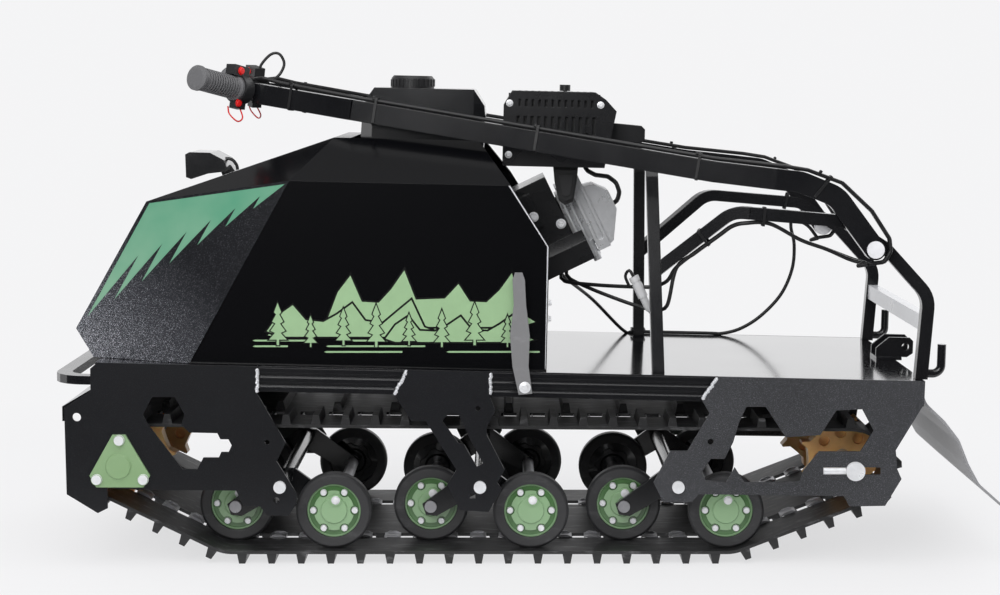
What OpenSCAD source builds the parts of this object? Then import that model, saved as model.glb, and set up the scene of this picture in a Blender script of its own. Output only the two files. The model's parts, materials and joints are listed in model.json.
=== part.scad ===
// Tracked snow towing vehicle: a low rubber-tracked tug with an open single-cylinder engine,
// a sheet-steel hood, a cargo deck and a folding tow handle. Millimetres.
// +X is forward, +Y is the left side, +Z is up. The origin is on the ground under the middle.

/* [Track] */
// Width of the rubber track
track_w = 500; // [380:10:600]
// Thickness of the belt
belt_t = 5; // [4:0.5:8]
// Height of the lugs on the outside of the belt
lug_h = 16; // [10:1:30]
// Number of lug rows round the belt
lug_rows = 58; // [40:1:70]
// Distance between the drive shaft and the idler shaft
axle_span = 1192; // [1150:1:1230]
// Height of the drive shaft above the ground
drive_axle_h = 167; // [150:1:190]
// Height of the idler shaft above the ground
idler_axle_h = 159; // [145:1:180]
// Radius at which the belt lies on the sprockets
sprocket_r = 60; // [54:1:64]
// Number of teeth on a sprocket
sprocket_teeth = 8; // [7:1:9]
// Radius of the drive and idler shafts
shaft_r = 12.5; // [10:0.5:16]

/* [Road wheels] */
// Diameter of a road wheel
wheel_d = 124.6; // [110:0.2:130]
// Width of a road wheel
wheel_w = 25; // [20:1:32]
// Distance between the two axles of a bogie
bogie_span = 166; // [140:1:180]
// Distance between the first and the second bogie pivot
bogie_pitch_front = 324; // [310:1:335]
// Distance between the second and the third bogie pivot
bogie_pitch_rear = 321; // [310:1:330]
// Height of a bogie pivot above its wheel axles
bogie_rise = 49.5; // [40:0.5:55]
// Radius of a bogie pivot tube
pivot_tube_r = 12; // [10:0.5:14]
// Radius of a wheel axle
wheel_axle_r = 10; // [8:0.5:11]

/* [Chassis] */
// Gap between the belt's edge and a side plate
track_clear = 24; // [22:1:30]
// Thickness of a side plate
plate_t = 4; // [3:0.5:6]
// Height of the deck's top above the ground at mid length
deck_z = 320; // [312:1:340]
// Slope of the deck, nose up, in degrees
deck_pitch = 1.3; // [0:0.1:2]
// Thickness of the deck sheet
deck_t = 2.5; // [2:0.5:4]
// Height of a frame rail
rail_h = 39; // [30:1:44]
// Width of a frame rail
rail_w = 30; // [24:1:40]
// Where the deck ends at the rear
deck_rear = -640; // [-660:1:-620]
// Where the frame ends at the nose
frame_front = 700; // [660:1:702]
// Width of the bumper bar
bumper_w = 25; // [18:1:30]
// Height of the bumper bar
bumper_h = 14; // [10:1:20]

/* [Hood] */
// Thickness of the hood's sheet
hood_t = 2; // [1.5:0.5:4]
// How far the hood's side stands in from the side plates' outer faces
hood_inset = 11; // [9:1:20]
// Height of the crease along the hood's side, above the deck
hood_crease_h = 300; // [260:1:310]
// Height of the hood's top above the deck
hood_top_h = 368; // [330:1:372]
// Half of the width of the hood's top opening
hood_top_half_w = 166; // [156:1:200]

/* [Cargo rails] */
// Side of the square tube of the rails
tube_w = 20; // [16:1:24]
// How far the side rails' middle stands in from the side plates' outer faces
rail_inset = 30; // [29:1:40]
// Height of the hoop behind the engine, above the deck
hoop_h = 348; // [300:1:350]

/* [Handle] */
// Height of a handle arm's section
arm_h = 34; // [28:1:36]
// Width of a handle arm's section
arm_w = 18; // [14:1:18]
// Diameter of a grip
grip_d = 36; // [30:1:38]
// Length of a grip
grip_len = 98; // [80:1:100]
// Radius of the handle's pivot pins
pivot_pin_r = 11; // [8:0.5:13]

/* [Engine] */
// Height of the engine's feet above the deck sheet
engine_lift = 28; // [20:1:32]
// Lean of the cylinder above the horizontal, in degrees
cylinder_lean = 27; // [20:1:30]
// Length of the fuel tank across the vehicle
tank_len = 270; // [240:2:280]

/* [Hidden] */

fit = 0.2;
$fn = 48;

// Running gear
drive_x = axle_span / 2 + 67;
idler_x = drive_x - axle_span;
belt_floor = lug_h + belt_t;
wheel_z = belt_floor + wheel_d / 2 + fit;
pivot_z = wheel_z + bogie_rise;
bogie_x = [78.5 + bogie_pitch_front, 78.5, 78.5 - bogie_pitch_rear];
inner_wheel_y = track_w / 2 - 87;
outer_wheel_y = track_w / 2 - 30.5;
bogie_arm_y = (inner_wheel_y + outer_wheel_y) / 2;
bogie_arm_t = 8;
plate_in = track_w / 2 + track_clear;
plate_out = plate_in + plate_t;
rail_half = plate_out - rail_inset;
hood_half_w = plate_out - hood_inset;
sprocket_y = track_w / 2 - 116;
sprocket_w = 28;

// The belt lies round these circles: [x, z, radius of its inner face]
loop_circles = [
    [drive_x, drive_axle_h, sprocket_r],
    [idler_x, idler_axle_h, sprocket_r],
    [bogie_x[2] - bogie_span / 2, wheel_z, wheel_d / 2 + fit],
    [bogie_x[0] + bogie_span / 2, wheel_z, wheel_d / 2 + fit]];
loop_n = len(loop_circles);

function turn(v) = atan2(v.y, v.x);
function polar(r, a) = [r * cos(a), r * sin(a)];
function unit(v) = v / norm(v);
function tangent_normal(a, b) =
    let(d = [b.x - a.x, b.y - a.y], e = unit(d), k = (a.z - b.z) / norm(d))
    k * e + sqrt(1 - k * k) * [e.y, -e.x];
loop_normals = [for (i = [0:loop_n - 1]) tangent_normal(loop_circles[i], loop_circles[(i + 1) % loop_n])];
loop_from = [for (i = [0:loop_n - 1]) turn(loop_normals[(i + loop_n - 1) % loop_n])];
loop_sweep = [for (i = [0:loop_n - 1]) (turn(loop_normals[i]) - loop_from[i] + 720) % 360];
function loop_arc_len(i, out) = (loop_circles[i].z + out) * loop_sweep[i] * PI / 180;
function loop_corner(i, a, out) =
    [loop_circles[i].x, loop_circles[i].y] + polar(loop_circles[i].z + out, a);
function loop_line_len(i) =
    norm(loop_corner((i + 1) % loop_n, loop_from[(i + 1) % loop_n], 0)
        - loop_corner(i, loop_from[i] + loop_sweep[i], 0));
function loop_len(out, i = 0) =
    i == loop_n ? 0 : loop_arc_len(i, out) + loop_line_len(i) + loop_len(out, i + 1);
// Place on the loop at the distance s from the first tangent point: [x, z, outward angle]
function loop_at(s, out, i = 0) =
    let(k = i % loop_n, arc = loop_arc_len(k, out), line = loop_line_len(k), end = loop_from[k] + loop_sweep[k])
    s < arc ?
        let(a = loop_from[k] + loop_sweep[k] * s / arc, p = loop_corner(k, a, out)) [p.x, p.y, a] :
    s < arc + line ?
        let(p = loop_corner(k, end, out) + (s - arc) * [-sin(end), cos(end)]) [p.x, p.y, end] :
    loop_at(s - arc - line, out, i + 1);
// The arcs over the road wheels take finer steps than those over the sprockets
function loop_outline(out) = [for (i = [0:loop_n - 1])
    let(n = max(2, ceil(loop_sweep[i] / (i < 2 ? 15 : 7))))
    for (k = [0:n]) loop_corner(i, loop_from[i] + loop_sweep[i] * k / n, out)];
track_len = loop_len(belt_t / 2);
lug_pitch = track_len / lug_rows;

// Frame
rail_in = plate_in - rail_w;
function deck_line(x) = deck_z + x * tan(deck_pitch);
bumper_x = 773;
bumper_z = 307;
plate_front_x = 707;

// Cargo rails, in the deck's frame
hoop_u = -211;
side_turn = [-352, 263.5];

// Handle
handle_pivot = [-551.8, 211.2];
arm_y = rail_half + tube_w / 2 + 5 + arm_w / 2;

// Engine
crank_u = 110;
crank_w = engine_lift + 106;
tank_floor = 326;
cylinder_foot = 100;
rocker_top = 73;
recoil_y = -104;

// Points of a path with each inner corner replaced by an arc of radius r
function arc_corner(a, b, c, r, n = 5) =
    let(u = unit(a - b), v = unit(c - b), half = acos(u * v) / 2, cut = r / tan(half),
        centre = b + unit(u + v) * r / sin(half), p = b + u * cut - centre, q = b + v * cut - centre,
        sweep = 180 - 2 * half)
    [for (k = [0:n]) centre + (p * sin(sweep * (1 - k / n)) + q * sin(sweep * k / n)) / sin(sweep)];
function bent(path, r, n = 5) = [
    path[0],
    for (i = [1:len(path) - 2]) each arc_corner(path[i - 1], path[i], path[i + 1], r, n),
    path[len(path) - 1]];
function seg_dir(path, i) = unit(path[i + 1] - path[i]);
function path_dir(path, i) = let(n = len(path))
    i == 0 ? seg_dir(path, 0) : i == n - 1 ? seg_dir(path, n - 2)
    : unit(seg_dir(path, i - 1) + seg_dir(path, i));
function path_stretch(path, i) =
    i == 0 || i == len(path) - 1 ? 1 : 1 / max(0.5, path_dir(path, i) * seg_dir(path, i));
function path_side(path, i) = let(d = path_dir(path, i)) [-d.y, d.x] * path_stretch(path, i);
// Outline of a bar of width w along a flat path
function ribbon(path, w) = let(n = len(path)) concat(
    [for (i = [0:n - 1]) path[i] + path_side(path, i) * w / 2],
    [for (k = [1:n]) path[n - k] - path_side(path, n - k) * w / 2]);

// Solid swept along a path in space; the section's first axis stays level with "side"
module sweep(path, section, side = [0, 1, 0]) {
    n = len(path);
    m = len(section);
    points = [for (i = [0:n - 1])
        let(t = path_dir(path, i), up = unit(cross(t, side)), across = unit(cross(up, t)))
        for (p = section) path[i] + across * p.x + up * p.y * path_stretch(path, i)];
    walls = [for (i = [0:n - 2]) for (k = [0:m - 1]) let(a = i * m + k, b = i * m + (k + 1) % m)
        each [[a, b + m, b], [a, a + m, b + m]]];
    polyhedron(points, concat(walls, [[for (k = [0:m - 1]) k]], [[for (k = [m - 1:-1:0]) (n - 1) * m + k]]));
}
function round_section(r, n = 8) = [for (k = [0:n - 1]) polar(r, (k + 0.5) * 360 / n)];
// Round cable or hose along a route whose corners have the bend radius r_bend
module tube(route, r, r_bend) {
    sweep(bent(route, r_bend, 2), round_section(r), [0.31, 0.81, 0.5]);
}

// Flat outlines drawn in the XZ plane, from y to y + t
module upright(y, t) {
    translate([0, y + t, 0]) rotate([90, 0, 0]) linear_extrude(t) children();
}
// The same outline on both sides, its outer face at "out"
module both_plates(out, t) {
    upright(out - t, t) children();
    upright(-out, t) children();
}
module both() {
    children();
    mirror([0, 1, 0]) children();
}
// Flat bar along a path of [x, z] points, in the upright plane whose plan leads from p to q
module plan_run(p, q, path, tall, wide) {
    h = atan2(q.y - p.y, q.x - p.x);
    flat = [for (v = path) [(v.x - p.x) / cos(h), v.y]];
    translate([p.x, p.y, 0]) rotate([0, 0, h]) upright(-wide / 2, wide) polygon(ribbon(flat, tall));
}
// Cylinder along Y from y0 to y1
module bar_y(r, y0, y1) {
    translate([0, y1, 0]) rotate([90, 0, 0]) cylinder(r = r, h = y1 - y0);
}
module pitched() {
    translate([0, 0, deck_z]) rotate([0, -deck_pitch, 0]) children();
}

// ---- Chassis ----
module rail_profile() {
    // Closed tube with two shallow grooves rolled into its outer side
    difference() {
        polygon([[0, 0], [rail_w, 0], [rail_w, 8], [rail_w - 2, 10], [rail_w - 2, 14], [rail_w, 16],
            [rail_w, rail_h - 16], [rail_w - 2, rail_h - 14], [rail_w - 2, rail_h - 10],
            [rail_w, rail_h - 8], [rail_w, rail_h], [0, rail_h]]);
        translate([3, 3]) square([rail_w - 8, rail_h - 6]);
    }
}
module frame_rails() {
    color("#17181a") pitched() both()
        translate([deck_rear, rail_in, -deck_t - rail_h]) rotate([90, 0, 90])
            linear_extrude(frame_front - deck_rear) rail_profile();
}
module cross_members() {
    color("#17181a") pitched()
        for (x = [deck_rear, -260, 60, 330, frame_front - 25])
            translate([x, -rail_in, -deck_t - rail_h + 4]) difference() {
                cube([25, 2 * rail_in, rail_h - 4]);
                translate([2.5, -1, 2.5]) cube([20, 2 * rail_in + 2, rail_h - 9]);
            }
}
module deck_sheet() {
    color("#2a2b2e") pitched()
        translate([deck_rear, -plate_in, -deck_t]) cube([frame_front - deck_rear, 2 * plate_in, deck_t]);
}
module front_plates() {
    ax = drive_x;
    az = drive_axle_h;
    px = bogie_x[0];
    pz = pivot_z;
    top = [for (x = [plate_front_x - 11, px + 36]) [x, deck_line(x)]];
    color("#17181a") both_plates(plate_out, plate_t) difference() {
        polygon([top[0], [plate_front_x, deck_line(plate_front_x) - 10], [plate_front_x, az + 123],
            [ax + 87, az + 95], [ax + 85, az - 46], [ax + 35, az - 77], [ax + 19, az - 69], [ax + 19, az - 36],
            [ax - 67, az - 39], [px + 71, pz - 6], [px + 59, pz - 31], [px + 32, pz - 32], [px + 21, pz - 47],
            [px - 14, pz - 47], [px - 27, pz - 26], [px - 27, pz - 11], [px + 5, pz + 42], [px - 10, pz + 72],
            [px + 36, pz + 153], top[1]]);
        polygon([[ax - 40, az + 84], [ax - 55, az + 113], [ax - 92, az + 113], [ax - 107, az + 85],
            [ax - 102, az + 67], [ax - 115, az + 55], [ax - 160, az + 54], [ax - 165, az + 44],
            [ax - 178, az + 44], [ax - 183, az + 34], [ax - 178, az + 23], [ax - 166, az + 23],
            [ax - 162, az + 14], [ax - 137, az + 14], [ax - 127, az - 5], [ax - 103, az - 5], [ax - 48, az + 68]]);
        translate([ax, az]) circle(r = shaft_r + fit);
        translate([ax + 67, az + 80]) circle(r = 7);
        translate([px + 20, pz + 73]) circle(r = 4);
        translate([px + 6, pz - 22]) circle(r = 5);
        translate([px, pz]) circle(r = 6 + fit);
    }
}
module middle_plates() {
    px = bogie_x[1];
    pz = pivot_z;
    color("#17181a") both_plates(plate_out, plate_t) difference() {
        polygon([[px + 116, deck_line(px + 116)], [px + 138, pz + 150], [px + 111, pz + 108],
            [px + 88, pz + 108], [px + 38, pz + 28], [px + 53, pz + 4], [px + 33, pz - 38],
            [px - 14, pz - 41], [px - 35, pz - 3], [px - 28, pz + 7], [px - 40, pz + 28],
            [px - 11, pz + 85], [px - 11, pz + 97], [px - 25, pz + 125], [px - 17, pz + 145],
            [px - 17, deck_line(px - 17)]]);
        polygon([[px + 61, pz + 108], [px + 50, pz + 121], [px + 35, pz + 120], [px + 29, pz + 108],
            [px + 17, pz + 80], [px - 5, pz + 39], [px + 5, pz + 33], [px + 26, pz + 70],
            [px + 35, pz + 72], [px + 52, pz + 96]]);
        translate([px + 3, pz + 128]) circle(r = 4);
        translate([px + 12, pz - 15]) square(9, center = true);
        translate([px, pz]) circle(r = 6 + fit);
    }
}
module rear_plates() {
    ax = idler_x;
    az = idler_axle_h;
    px = bogie_x[2];
    pz = pivot_z;
    color("#26272a") both_plates(plate_out, plate_t) difference() {
        polygon([[px - 64, deck_line(px - 64)], [px - 38, az + 115], [px - 50, az + 94], [px - 15, az + 33],
            [px + 13, az + 33], [px + 40, pz + 7], [px + 24, pz - 25], [px - 22, pz - 25], [px - 33, pz - 12],
            [ax + 18, az - 41], [ax + 9, az - 58], [ax - 49, az - 57], [ax - 75, az - 13], [ax - 68, az + 3],
            [ax - 65, az + 34], [ax - 110, az + 110], [deck_rear, deck_line(deck_rear)]]);
        polygon([[ax + 189, az + 79], [ax + 177, az + 105], [ax + 146, az + 105], [ax + 113, az + 55],
            [ax + 57, az + 59], [ax + 32, az + 99], [ax - 10, az + 101], [ax - 29, az + 66], [ax - 8, az + 32],
            [ax + 59, az + 32], [ax + 84, az], [ax + 90, az - 17], [ax + 179, az - 19], [ax + 195, az + 6],
            [ax + 209, az - 19], [ax + 243, az - 15], [ax + 248, az - 1], [ax + 234, az + 20],
            [ax + 212, az + 20], [ax + 198, az + 47]]);
        translate([ax - 41, az - 6]) square([93, 12]);
        translate([px - 52, az + 48]) circle(r = 5);
        translate([px, pz]) circle(r = 6 + fit);
    }
}
module bumper() {
    y = plate_out - bumper_w / 2;
    path = bent([[plate_front_x + 0.2, -y], [bumper_x - bumper_w / 2, -y], [bumper_x - bumper_w / 2, y],
        [plate_front_x + 0.2, y]], 50);
    color("#17181a") translate([0, 0, bumper_z - bumper_h / 2])
        linear_extrude(bumper_h) polygon(ribbon(path, bumper_w));
}
module front_guard() {
    // Folded sheet over the front of the track
    color("#17181a") upright(-plate_in, 2 * plate_in)
        polygon([[plate_front_x - 6, 290], [plate_front_x - 2, 293], [plate_front_x + 47, 264],
            [plate_front_x + 47, 240], [plate_front_x + 44, 240], [plate_front_x + 44, 262]]);
}

// ---- Cargo rails ----
hoop_lean = atan2(14, hoop_h);
hoop_shoulder = [rail_half - 95, hoop_h - tube_w / 2];
module at_hoop() {
    translate([hoop_u, 0, 0]) rotate([0, hoop_lean, 0]) children();
}
module hoop() {
    foot = [rail_half, 0];
    half = [foot - [0, 20], foot, hoop_shoulder];
    path = bent(concat(half, [for (k = [2:-1:0]) [-half[k].x, half[k].y]]), 35);
    color("#17181a") pitched() intersection() {
        at_hoop() translate([tube_w / 2, 0, 0]) rotate([90, 0, -90])
            linear_extrude(tube_w) polygon(ribbon(path, tube_w));
        translate([hoop_u - 100, -400, 0]) cube([300, 800, hoop_h + 50]);
    }
}
side_path = bent([[-638, 0], [-646, 135], [-573, 212], [-505, 254], side_turn], 45);
side_end_w = 160;
module side_rail() {
    // The front run leans in from side_turn to the rear face of the hoop's post
    end = [hoop_u + side_end_w * tan(hoop_lean),
        rail_half + (hoop_shoulder.x - rail_half) * side_end_w / hoop_shoulder.y];
    back = unit([178, 11]);
    color("#17181a") pitched() {
        difference() {
            upright(rail_half - tube_w / 2, tube_w) polygon(ribbon(side_path, tube_w));
            translate([deck_rear - 40, 0, -10]) cube([80, 2 * rail_half, 10]);
        }
        difference() {
            plan_run([side_turn.x, rail_half], end,
                bent([side_turn - 2 * back, side_turn + 25 * back, [end.x, side_end_w]], 45), tube_w, tube_w);
            at_hoop() translate([-tube_w / 2 - fit, -rail_half, 0]) cube([tube_w, 2 * rail_half, hoop_h]);
        }
    }
}
module side_rail_left() {
    side_rail();
}
module side_rail_right() {
    mirror([0, 1, 0]) side_rail();
}
module rear_bar() {
    w = tube_w - 2;
    color("#9a9da2") pitched()
        translate([-645 - w / 2, -rail_half + tube_w / 2, 78]) cube([w, 2 * rail_half - tube_w, 26]);
}
module pivot_pins() {
    color("#d8dadd") pitched() both() translate([handle_pivot.x, 0, handle_pivot.y]) {
        bar_y(pivot_pin_r, rail_half + tube_w / 2, arm_y + arm_w / 2 + 1);
        bar_y(pivot_pin_r + 3, arm_y + arm_w / 2 + 1, arm_y + arm_w / 2 + 4);
        bar_y(pivot_pin_r + 6, rail_half + tube_w / 2, rail_half + tube_w / 2 + 3);
    }
}
module tow_bracket() {
    color("#17181a") pitched() translate([deck_rear + 30, 0, 0]) {
        translate([-40, -30, 0]) cube([44, 60, 5]);
        for (y = [-25, 20]) upright(y, 5) difference() {
            polygon([[-60, 12], [-50, 5], [4, 5], [4, 20], [-18, 39], [-54, 39], [-60, 33]]);
            translate([-47, 23]) circle(r = 6.5);
        }
    }
}
module tie_hooks() {
    // Round bar hooks that stand up behind the rear posts
    r = 7;
    bend = 14;
    reach = 8;
    color("#222326") pitched() both()
        translate([side_path[0].x - tube_w / 2 - 1.2, rail_half, r + 2]) {
            translate([-reach, 0, 0]) rotate([0, 90, 0]) cylinder(r = r, h = reach);
            translate([-reach, 0, bend]) rotate([90, 0, 0]) rotate([0, 0, 180])
                rotate_extrude(angle = 90) translate([bend, 0]) circle(r = r);
            translate([-reach - bend, 0, bend]) cylinder(r = r, h = 34);
        }
}

// ---- Track ----
module lug(y, len) {
    // Trapezoid tread bar, sunk a little into the belt
    translate([0, y, 0]) rotate([90, 0, 0])
        linear_extrude(len, center = true)
            polygon([[-8.5, -2], [8.5, -2], [5, lug_h], [-5, lug_h]]);
}
module on_loop(s) {
    p = loop_at((s + track_len) % track_len, belt_t / 2);
    translate([p.x, 0, p.y]) rotate([0, 90 - p.z, 0]) translate([0, 0, belt_t / 2]) children();
}
module track() {
    edge_len = 96;
    edge_gap = 1;
    lane = sprocket_w + 5;
    color("#232325") difference() {
        union() {
            upright(-track_w / 2, track_w) difference() {
                polygon(loop_outline(belt_t));
                polygon(loop_outline(0));
            }
            for (i = [0:lug_rows - 1]) on_loop(i * lug_pitch)
                for (side = [-1, 1]) lug(side * ((track_w - edge_len) / 2 - edge_gap), edge_len);
            for (i = [0:2:lug_rows - 1]) on_loop((i + 0.5) * lug_pitch) lug(0, 2 * sprocket_y - lane - 12);
        }
        for (i = [0:lug_rows - 1]) on_loop((i + 0.5) * lug_pitch)
            for (side = [-1, 1])
                translate([0, side * sprocket_y, 0]) cube([26, lane, 3 * belt_t], center = true);
    }
}
function sprocket_point(k, r, frac) = polar(r, (k + frac) * 360 / sprocket_teeth);
module sprocket_star() {
    polygon([for (k = [0:sprocket_teeth - 1]) each [
        sprocket_point(k, sprocket_r + 11, -0.03), sprocket_point(k, sprocket_r + 11, 0.03),
        sprocket_point(k, sprocket_r - 1, 0.15), sprocket_point(k, sprocket_r - 4, 0.5),
        sprocket_point(k, sprocket_r - 1, 0.85)]]);
}
module sprocket() {
    // Star wheel with a pocket behind each tooth and a pocket in each gap
    difference() {
        union() {
            translate([0, -sprocket_w / 2, 0]) upright(0, sprocket_w) sprocket_star();
        }
        for (k = [0:sprocket_teeth - 1]) rotate([0, -(k + 0.5) * 360 / sprocket_teeth, 0])
            for (side = [-1, 1]) translate([40, side * sprocket_w / 2, 0]) rotate([90, 0, 0])
                cylinder(r = 9, h = 18, center = true);
        bar_y(shaft_r + fit, -sprocket_w, sprocket_w);
    }
}
module sprocket_pair(x, z, phase) {
    translate([x, 0, z]) rotate([0, -phase, 0]) for (side = [-1, 1])
        translate([0, side * sprocket_y, 0]) sprocket();
}
// A tooth stands in the middle window of each wrapped arc
function window_phase(i) =
    let(start = i == 0 ? 0 : loop_arc_len(0, belt_t / 2) + loop_line_len(0),
        mid = start + loop_arc_len(i, belt_t / 2) / 2,
        n = floor(mid / lug_pitch))
    loop_at((n + 0.5) * lug_pitch, belt_t / 2).z;
module drive_sprockets() {
    color("#d9a860") sprocket_pair(drive_x, drive_axle_h, window_phase(0));
}
module idler_sprockets() {
    color("#d9a860") sprocket_pair(idler_x, idler_axle_h, window_phase(1));
}
module drive_shaft() {
    color("#a9abad") translate([drive_x, 0, drive_axle_h]) bar_y(shaft_r, -plate_out + 0.5, plate_out - 0.5);
}
module idler_shaft() {
    color("#d8dadd") translate([idler_x, 0, idler_axle_h]) {
        bar_y(shaft_r, -plate_in + 0.2, plate_in - 0.2);
        bar_y(5.5, -plate_out - 1, plate_out + 1);
        both() bar_y(15.5, plate_out, plate_out + 5);
    }
}
module tensioners() {
    color("#c8cacd") both() translate([idler_x + 15.7, plate_out - 1, idler_axle_h])
        rotate([0, 90, 0]) cylinder(r = 5.6, h = 36);
}
cover_bolts = [[-2, 43], [35, -21], [-40, -21]];
module bearing_covers() {
    color("#8fb583") both() translate([drive_x, 0, drive_axle_h]) {
        upright(plate_out, 4)
            polygon([[9, 52], [-12, 52], [-51, -15], [-40, -34], [36, -34], [47, -15]]);
        translate([0, plate_out + 4, 0]) rotate([-90, 0, 0]) cylinder(r1 = 21, r2 = 19, h = 3);
    }
    color("#d8dadd") both() translate([drive_x, 0, drive_axle_h])
        for (p = cover_bolts) translate([p.x, 0, p.y]) bar_y(8.6, plate_out + 4, plate_out + 9);
}
module pivot_bolts() {
    color("#d8dadd") for (x = bogie_x) translate([x, 0, pivot_z]) both() {
        bar_y(10, plate_out, plate_out + 6);
        bar_y(6, plate_in - 40, plate_out);
    }
}

// ---- Bogies ----
module pivot_tubes() {
    color("#1c1d1f") for (x = bogie_x) translate([x, 0, pivot_z]) difference() {
        bar_y(pivot_tube_r, -plate_in + fit, plate_in - fit);
        both() bar_y(6 + fit, plate_in - 41, plate_out);
    }
}
module bogie_arms() {
    s = bogie_span / 2;
    low = wheel_z - 14;
    color("#1c1d1f") for (x = bogie_x) translate([x, 0, 0]) both()
        upright(bogie_arm_y - bogie_arm_t / 2, bogie_arm_t) difference() {
            polygon([[-s - 8, low], [-s + 10, low - 2], [0, pivot_z - 24], [s - 10, low - 2], [s + 8, low],
                [s + 14, low + 18], [17, pivot_z + 14], [-17, pivot_z + 14], [-s - 14, low + 18]]);
            for (k = [-1, 1]) translate([k * s, wheel_z]) circle(r = wheel_axle_r + fit);
            translate([0, pivot_z]) circle(r = pivot_tube_r + fit);
        }
}
// Each bogie's front pair of wheels stands inside its arms and its rear pair outside
module at_inner_wheels() {
    for (x = bogie_x) both() translate([x + bogie_span / 2, inner_wheel_y, wheel_z]) children();
}
module at_outer_wheels() {
    for (x = bogie_x) both() translate([x - bogie_span / 2, outer_wheel_y, wheel_z]) children();
}
disc_r = wheel_d * 0.355;
disc_face = 4;
hub_face = 9.5;
module wheel_axles() {
    color("#b8babd") for (x = bogie_x) {
        translate([x + bogie_span / 2, 0, wheel_z]) bar_y(wheel_axle_r, -bogie_arm_y - 8, bogie_arm_y + 8);
        translate([x - bogie_span / 2, 0, wheel_z])
            bar_y(wheel_axle_r, -outer_wheel_y - disc_face, outer_wheel_y + disc_face);
    }
}
module wheel_disc() {
    // Dished disc with a lobed hub between its six bolts and a filler boss beside the middle
    bolt_at = disc_r - 10;
    rotate([-90, 0, 0]) {
        difference() {
            union() {
                rotate_extrude() polygon([[0, -8], [20, -8], [24, -3], [disc_r, -3], [disc_r, disc_face + 1.5],
                    [disc_r - 3, disc_face + 1.5], [disc_r - 4, disc_face], [0, disc_face]]);
                translate([0, 0, disc_face - 1]) linear_extrude(3.5) difference() {
                    circle(r = bolt_at - 1);
                    for (k = [0:5]) rotate(k * 60) translate([bolt_at + 1, 0]) circle(r = 8.5);
                }
                translate([0, 0, disc_face + 2]) cylinder(r1 = 23, r2 = 20.5, h = hub_face - disc_face - 2);
                rotate(-100) translate([18, 0, disc_face + 1]) cylinder(r = 9.5, h = hub_face - disc_face + 1);
            }
            translate([0, 0, -9]) cylinder(r = wheel_axle_r + fit, h = 9 + disc_face + fit);
            children();
        }
        for (k = [0:5]) rotate(k * 60) translate([bolt_at, 0, disc_face - 0.5])
            cylinder(r = 4.8, h = 3.5, $fn = 24);
    }
}
module wheel_discs() {
    color("#5f9460") {
        at_outer_wheels() wheel_disc();
        at_inner_wheels() wheel_disc() cylinder(r = wheel_axle_r + fit, h = 2 * hub_face);
    }
}
module wheel_tyre(r, w) {
    rotate([-90, 0, 0]) rotate_extrude() polygon([[disc_r + 0.1, -w + 2], [r - 4, -w], [r, -w + 4], [r, w - 4],
        [r - 4, w], [disc_r + 0.1, w - 2]]);
}
module wheel_tyres() {
    w = wheel_w / 2;
    r = wheel_d / 2;
    color("#38383a") {
        at_inner_wheels() wheel_tyre(r, w);
        at_outer_wheels() wheel_tyre(r, w);
    }
}
module mud_flap() {
    // Hanging rubber sheet that curls away to the rear
    x = deck_rear - 2.3;
    path = bent([[x, 300], [x, 268], [-677, 235], [-701, 204], [-717, 164], [-735, 131], [-772, 98]], 30);
    color("#77787c") upright(-track_w / 2, track_w) polygon(ribbon(path, 4));
}

// ---- Engine ----
module at_crank() {
    pitched() translate([crank_u, 0, crank_w]) children();
}
module along_cylinder() {
    at_crank() rotate([0, cylinder_lean - 90, 0]) children();
}
module crankcase() {
    color("#2b2c2e") at_crank() {
        translate([-100, recoil_y + 0.3, -106]) cube([200, 84.7 - recoil_y, 14]);
        difference() {
            upright(-100, 180) polygon([[-92, -92], [88, -92], [98, 20], [70, 110], [-10, 120], [-70, 78], [-100, 10]]);
            bar_y(60, -101, -80);
        }
        bar_y(62, 80, 92);
        bar_y(12.7, 92, 160);
        for (y = [-90, 50]) translate([-90, y, -106 - engine_lift]) cube([180, 30, engine_lift]);
        // Tank brackets and the face that carries the cylinder
        for (y = [-70, 56]) translate([0, y, 100]) cube([60, 14, tank_floor - crank_w - 100.3]);
        rotate([0, cylinder_lean - 90, 0]) translate([-94, -86, 50]) cube([190, 172, cylinder_foot - 50]);
    }
}
module cylinder_barrel() {
    color("#a6a8ab") along_cylinder() {
        translate([0, 0, cylinder_foot]) cylinder(r = 50, h = 98);
        for (k = [0:6]) translate([-60, -66, 114 + k * 12]) cube([126, 132, 3]);
    }
}
module cylinder_head() {
    color("#c9cbce") along_cylinder() difference() {
        union() {
            for (k = [0:1]) translate([-62, -62, 203 + k * 11]) cube([130, 124, 4]);
            translate([-48, -46, 198]) cube([104, 92, 30]);
            // Rocker box and its cover, which slopes away at the lower end
            translate([-62, -64, 226]) cube([rocker_top + 62, 128, 22]);
            upright(-56, 112) polygon([[-60, 247], [-57, 256], [-10, 284], [24, 284], [44, 266], [48, 247]]);
            translate([-40, 50, 218]) rotate([0, -90, 0]) cylinder(r = 7, h = 36);
            translate([-60, 50, 218]) rotate([0, -90, 0]) cylinder(r = 9, h = 8, $fn = 6);
        }
        translate([6, 58, 237]) rotate([-90, 0, 0]) linear_extrude(20) slot_outline(104, 11);
    }
}
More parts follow.
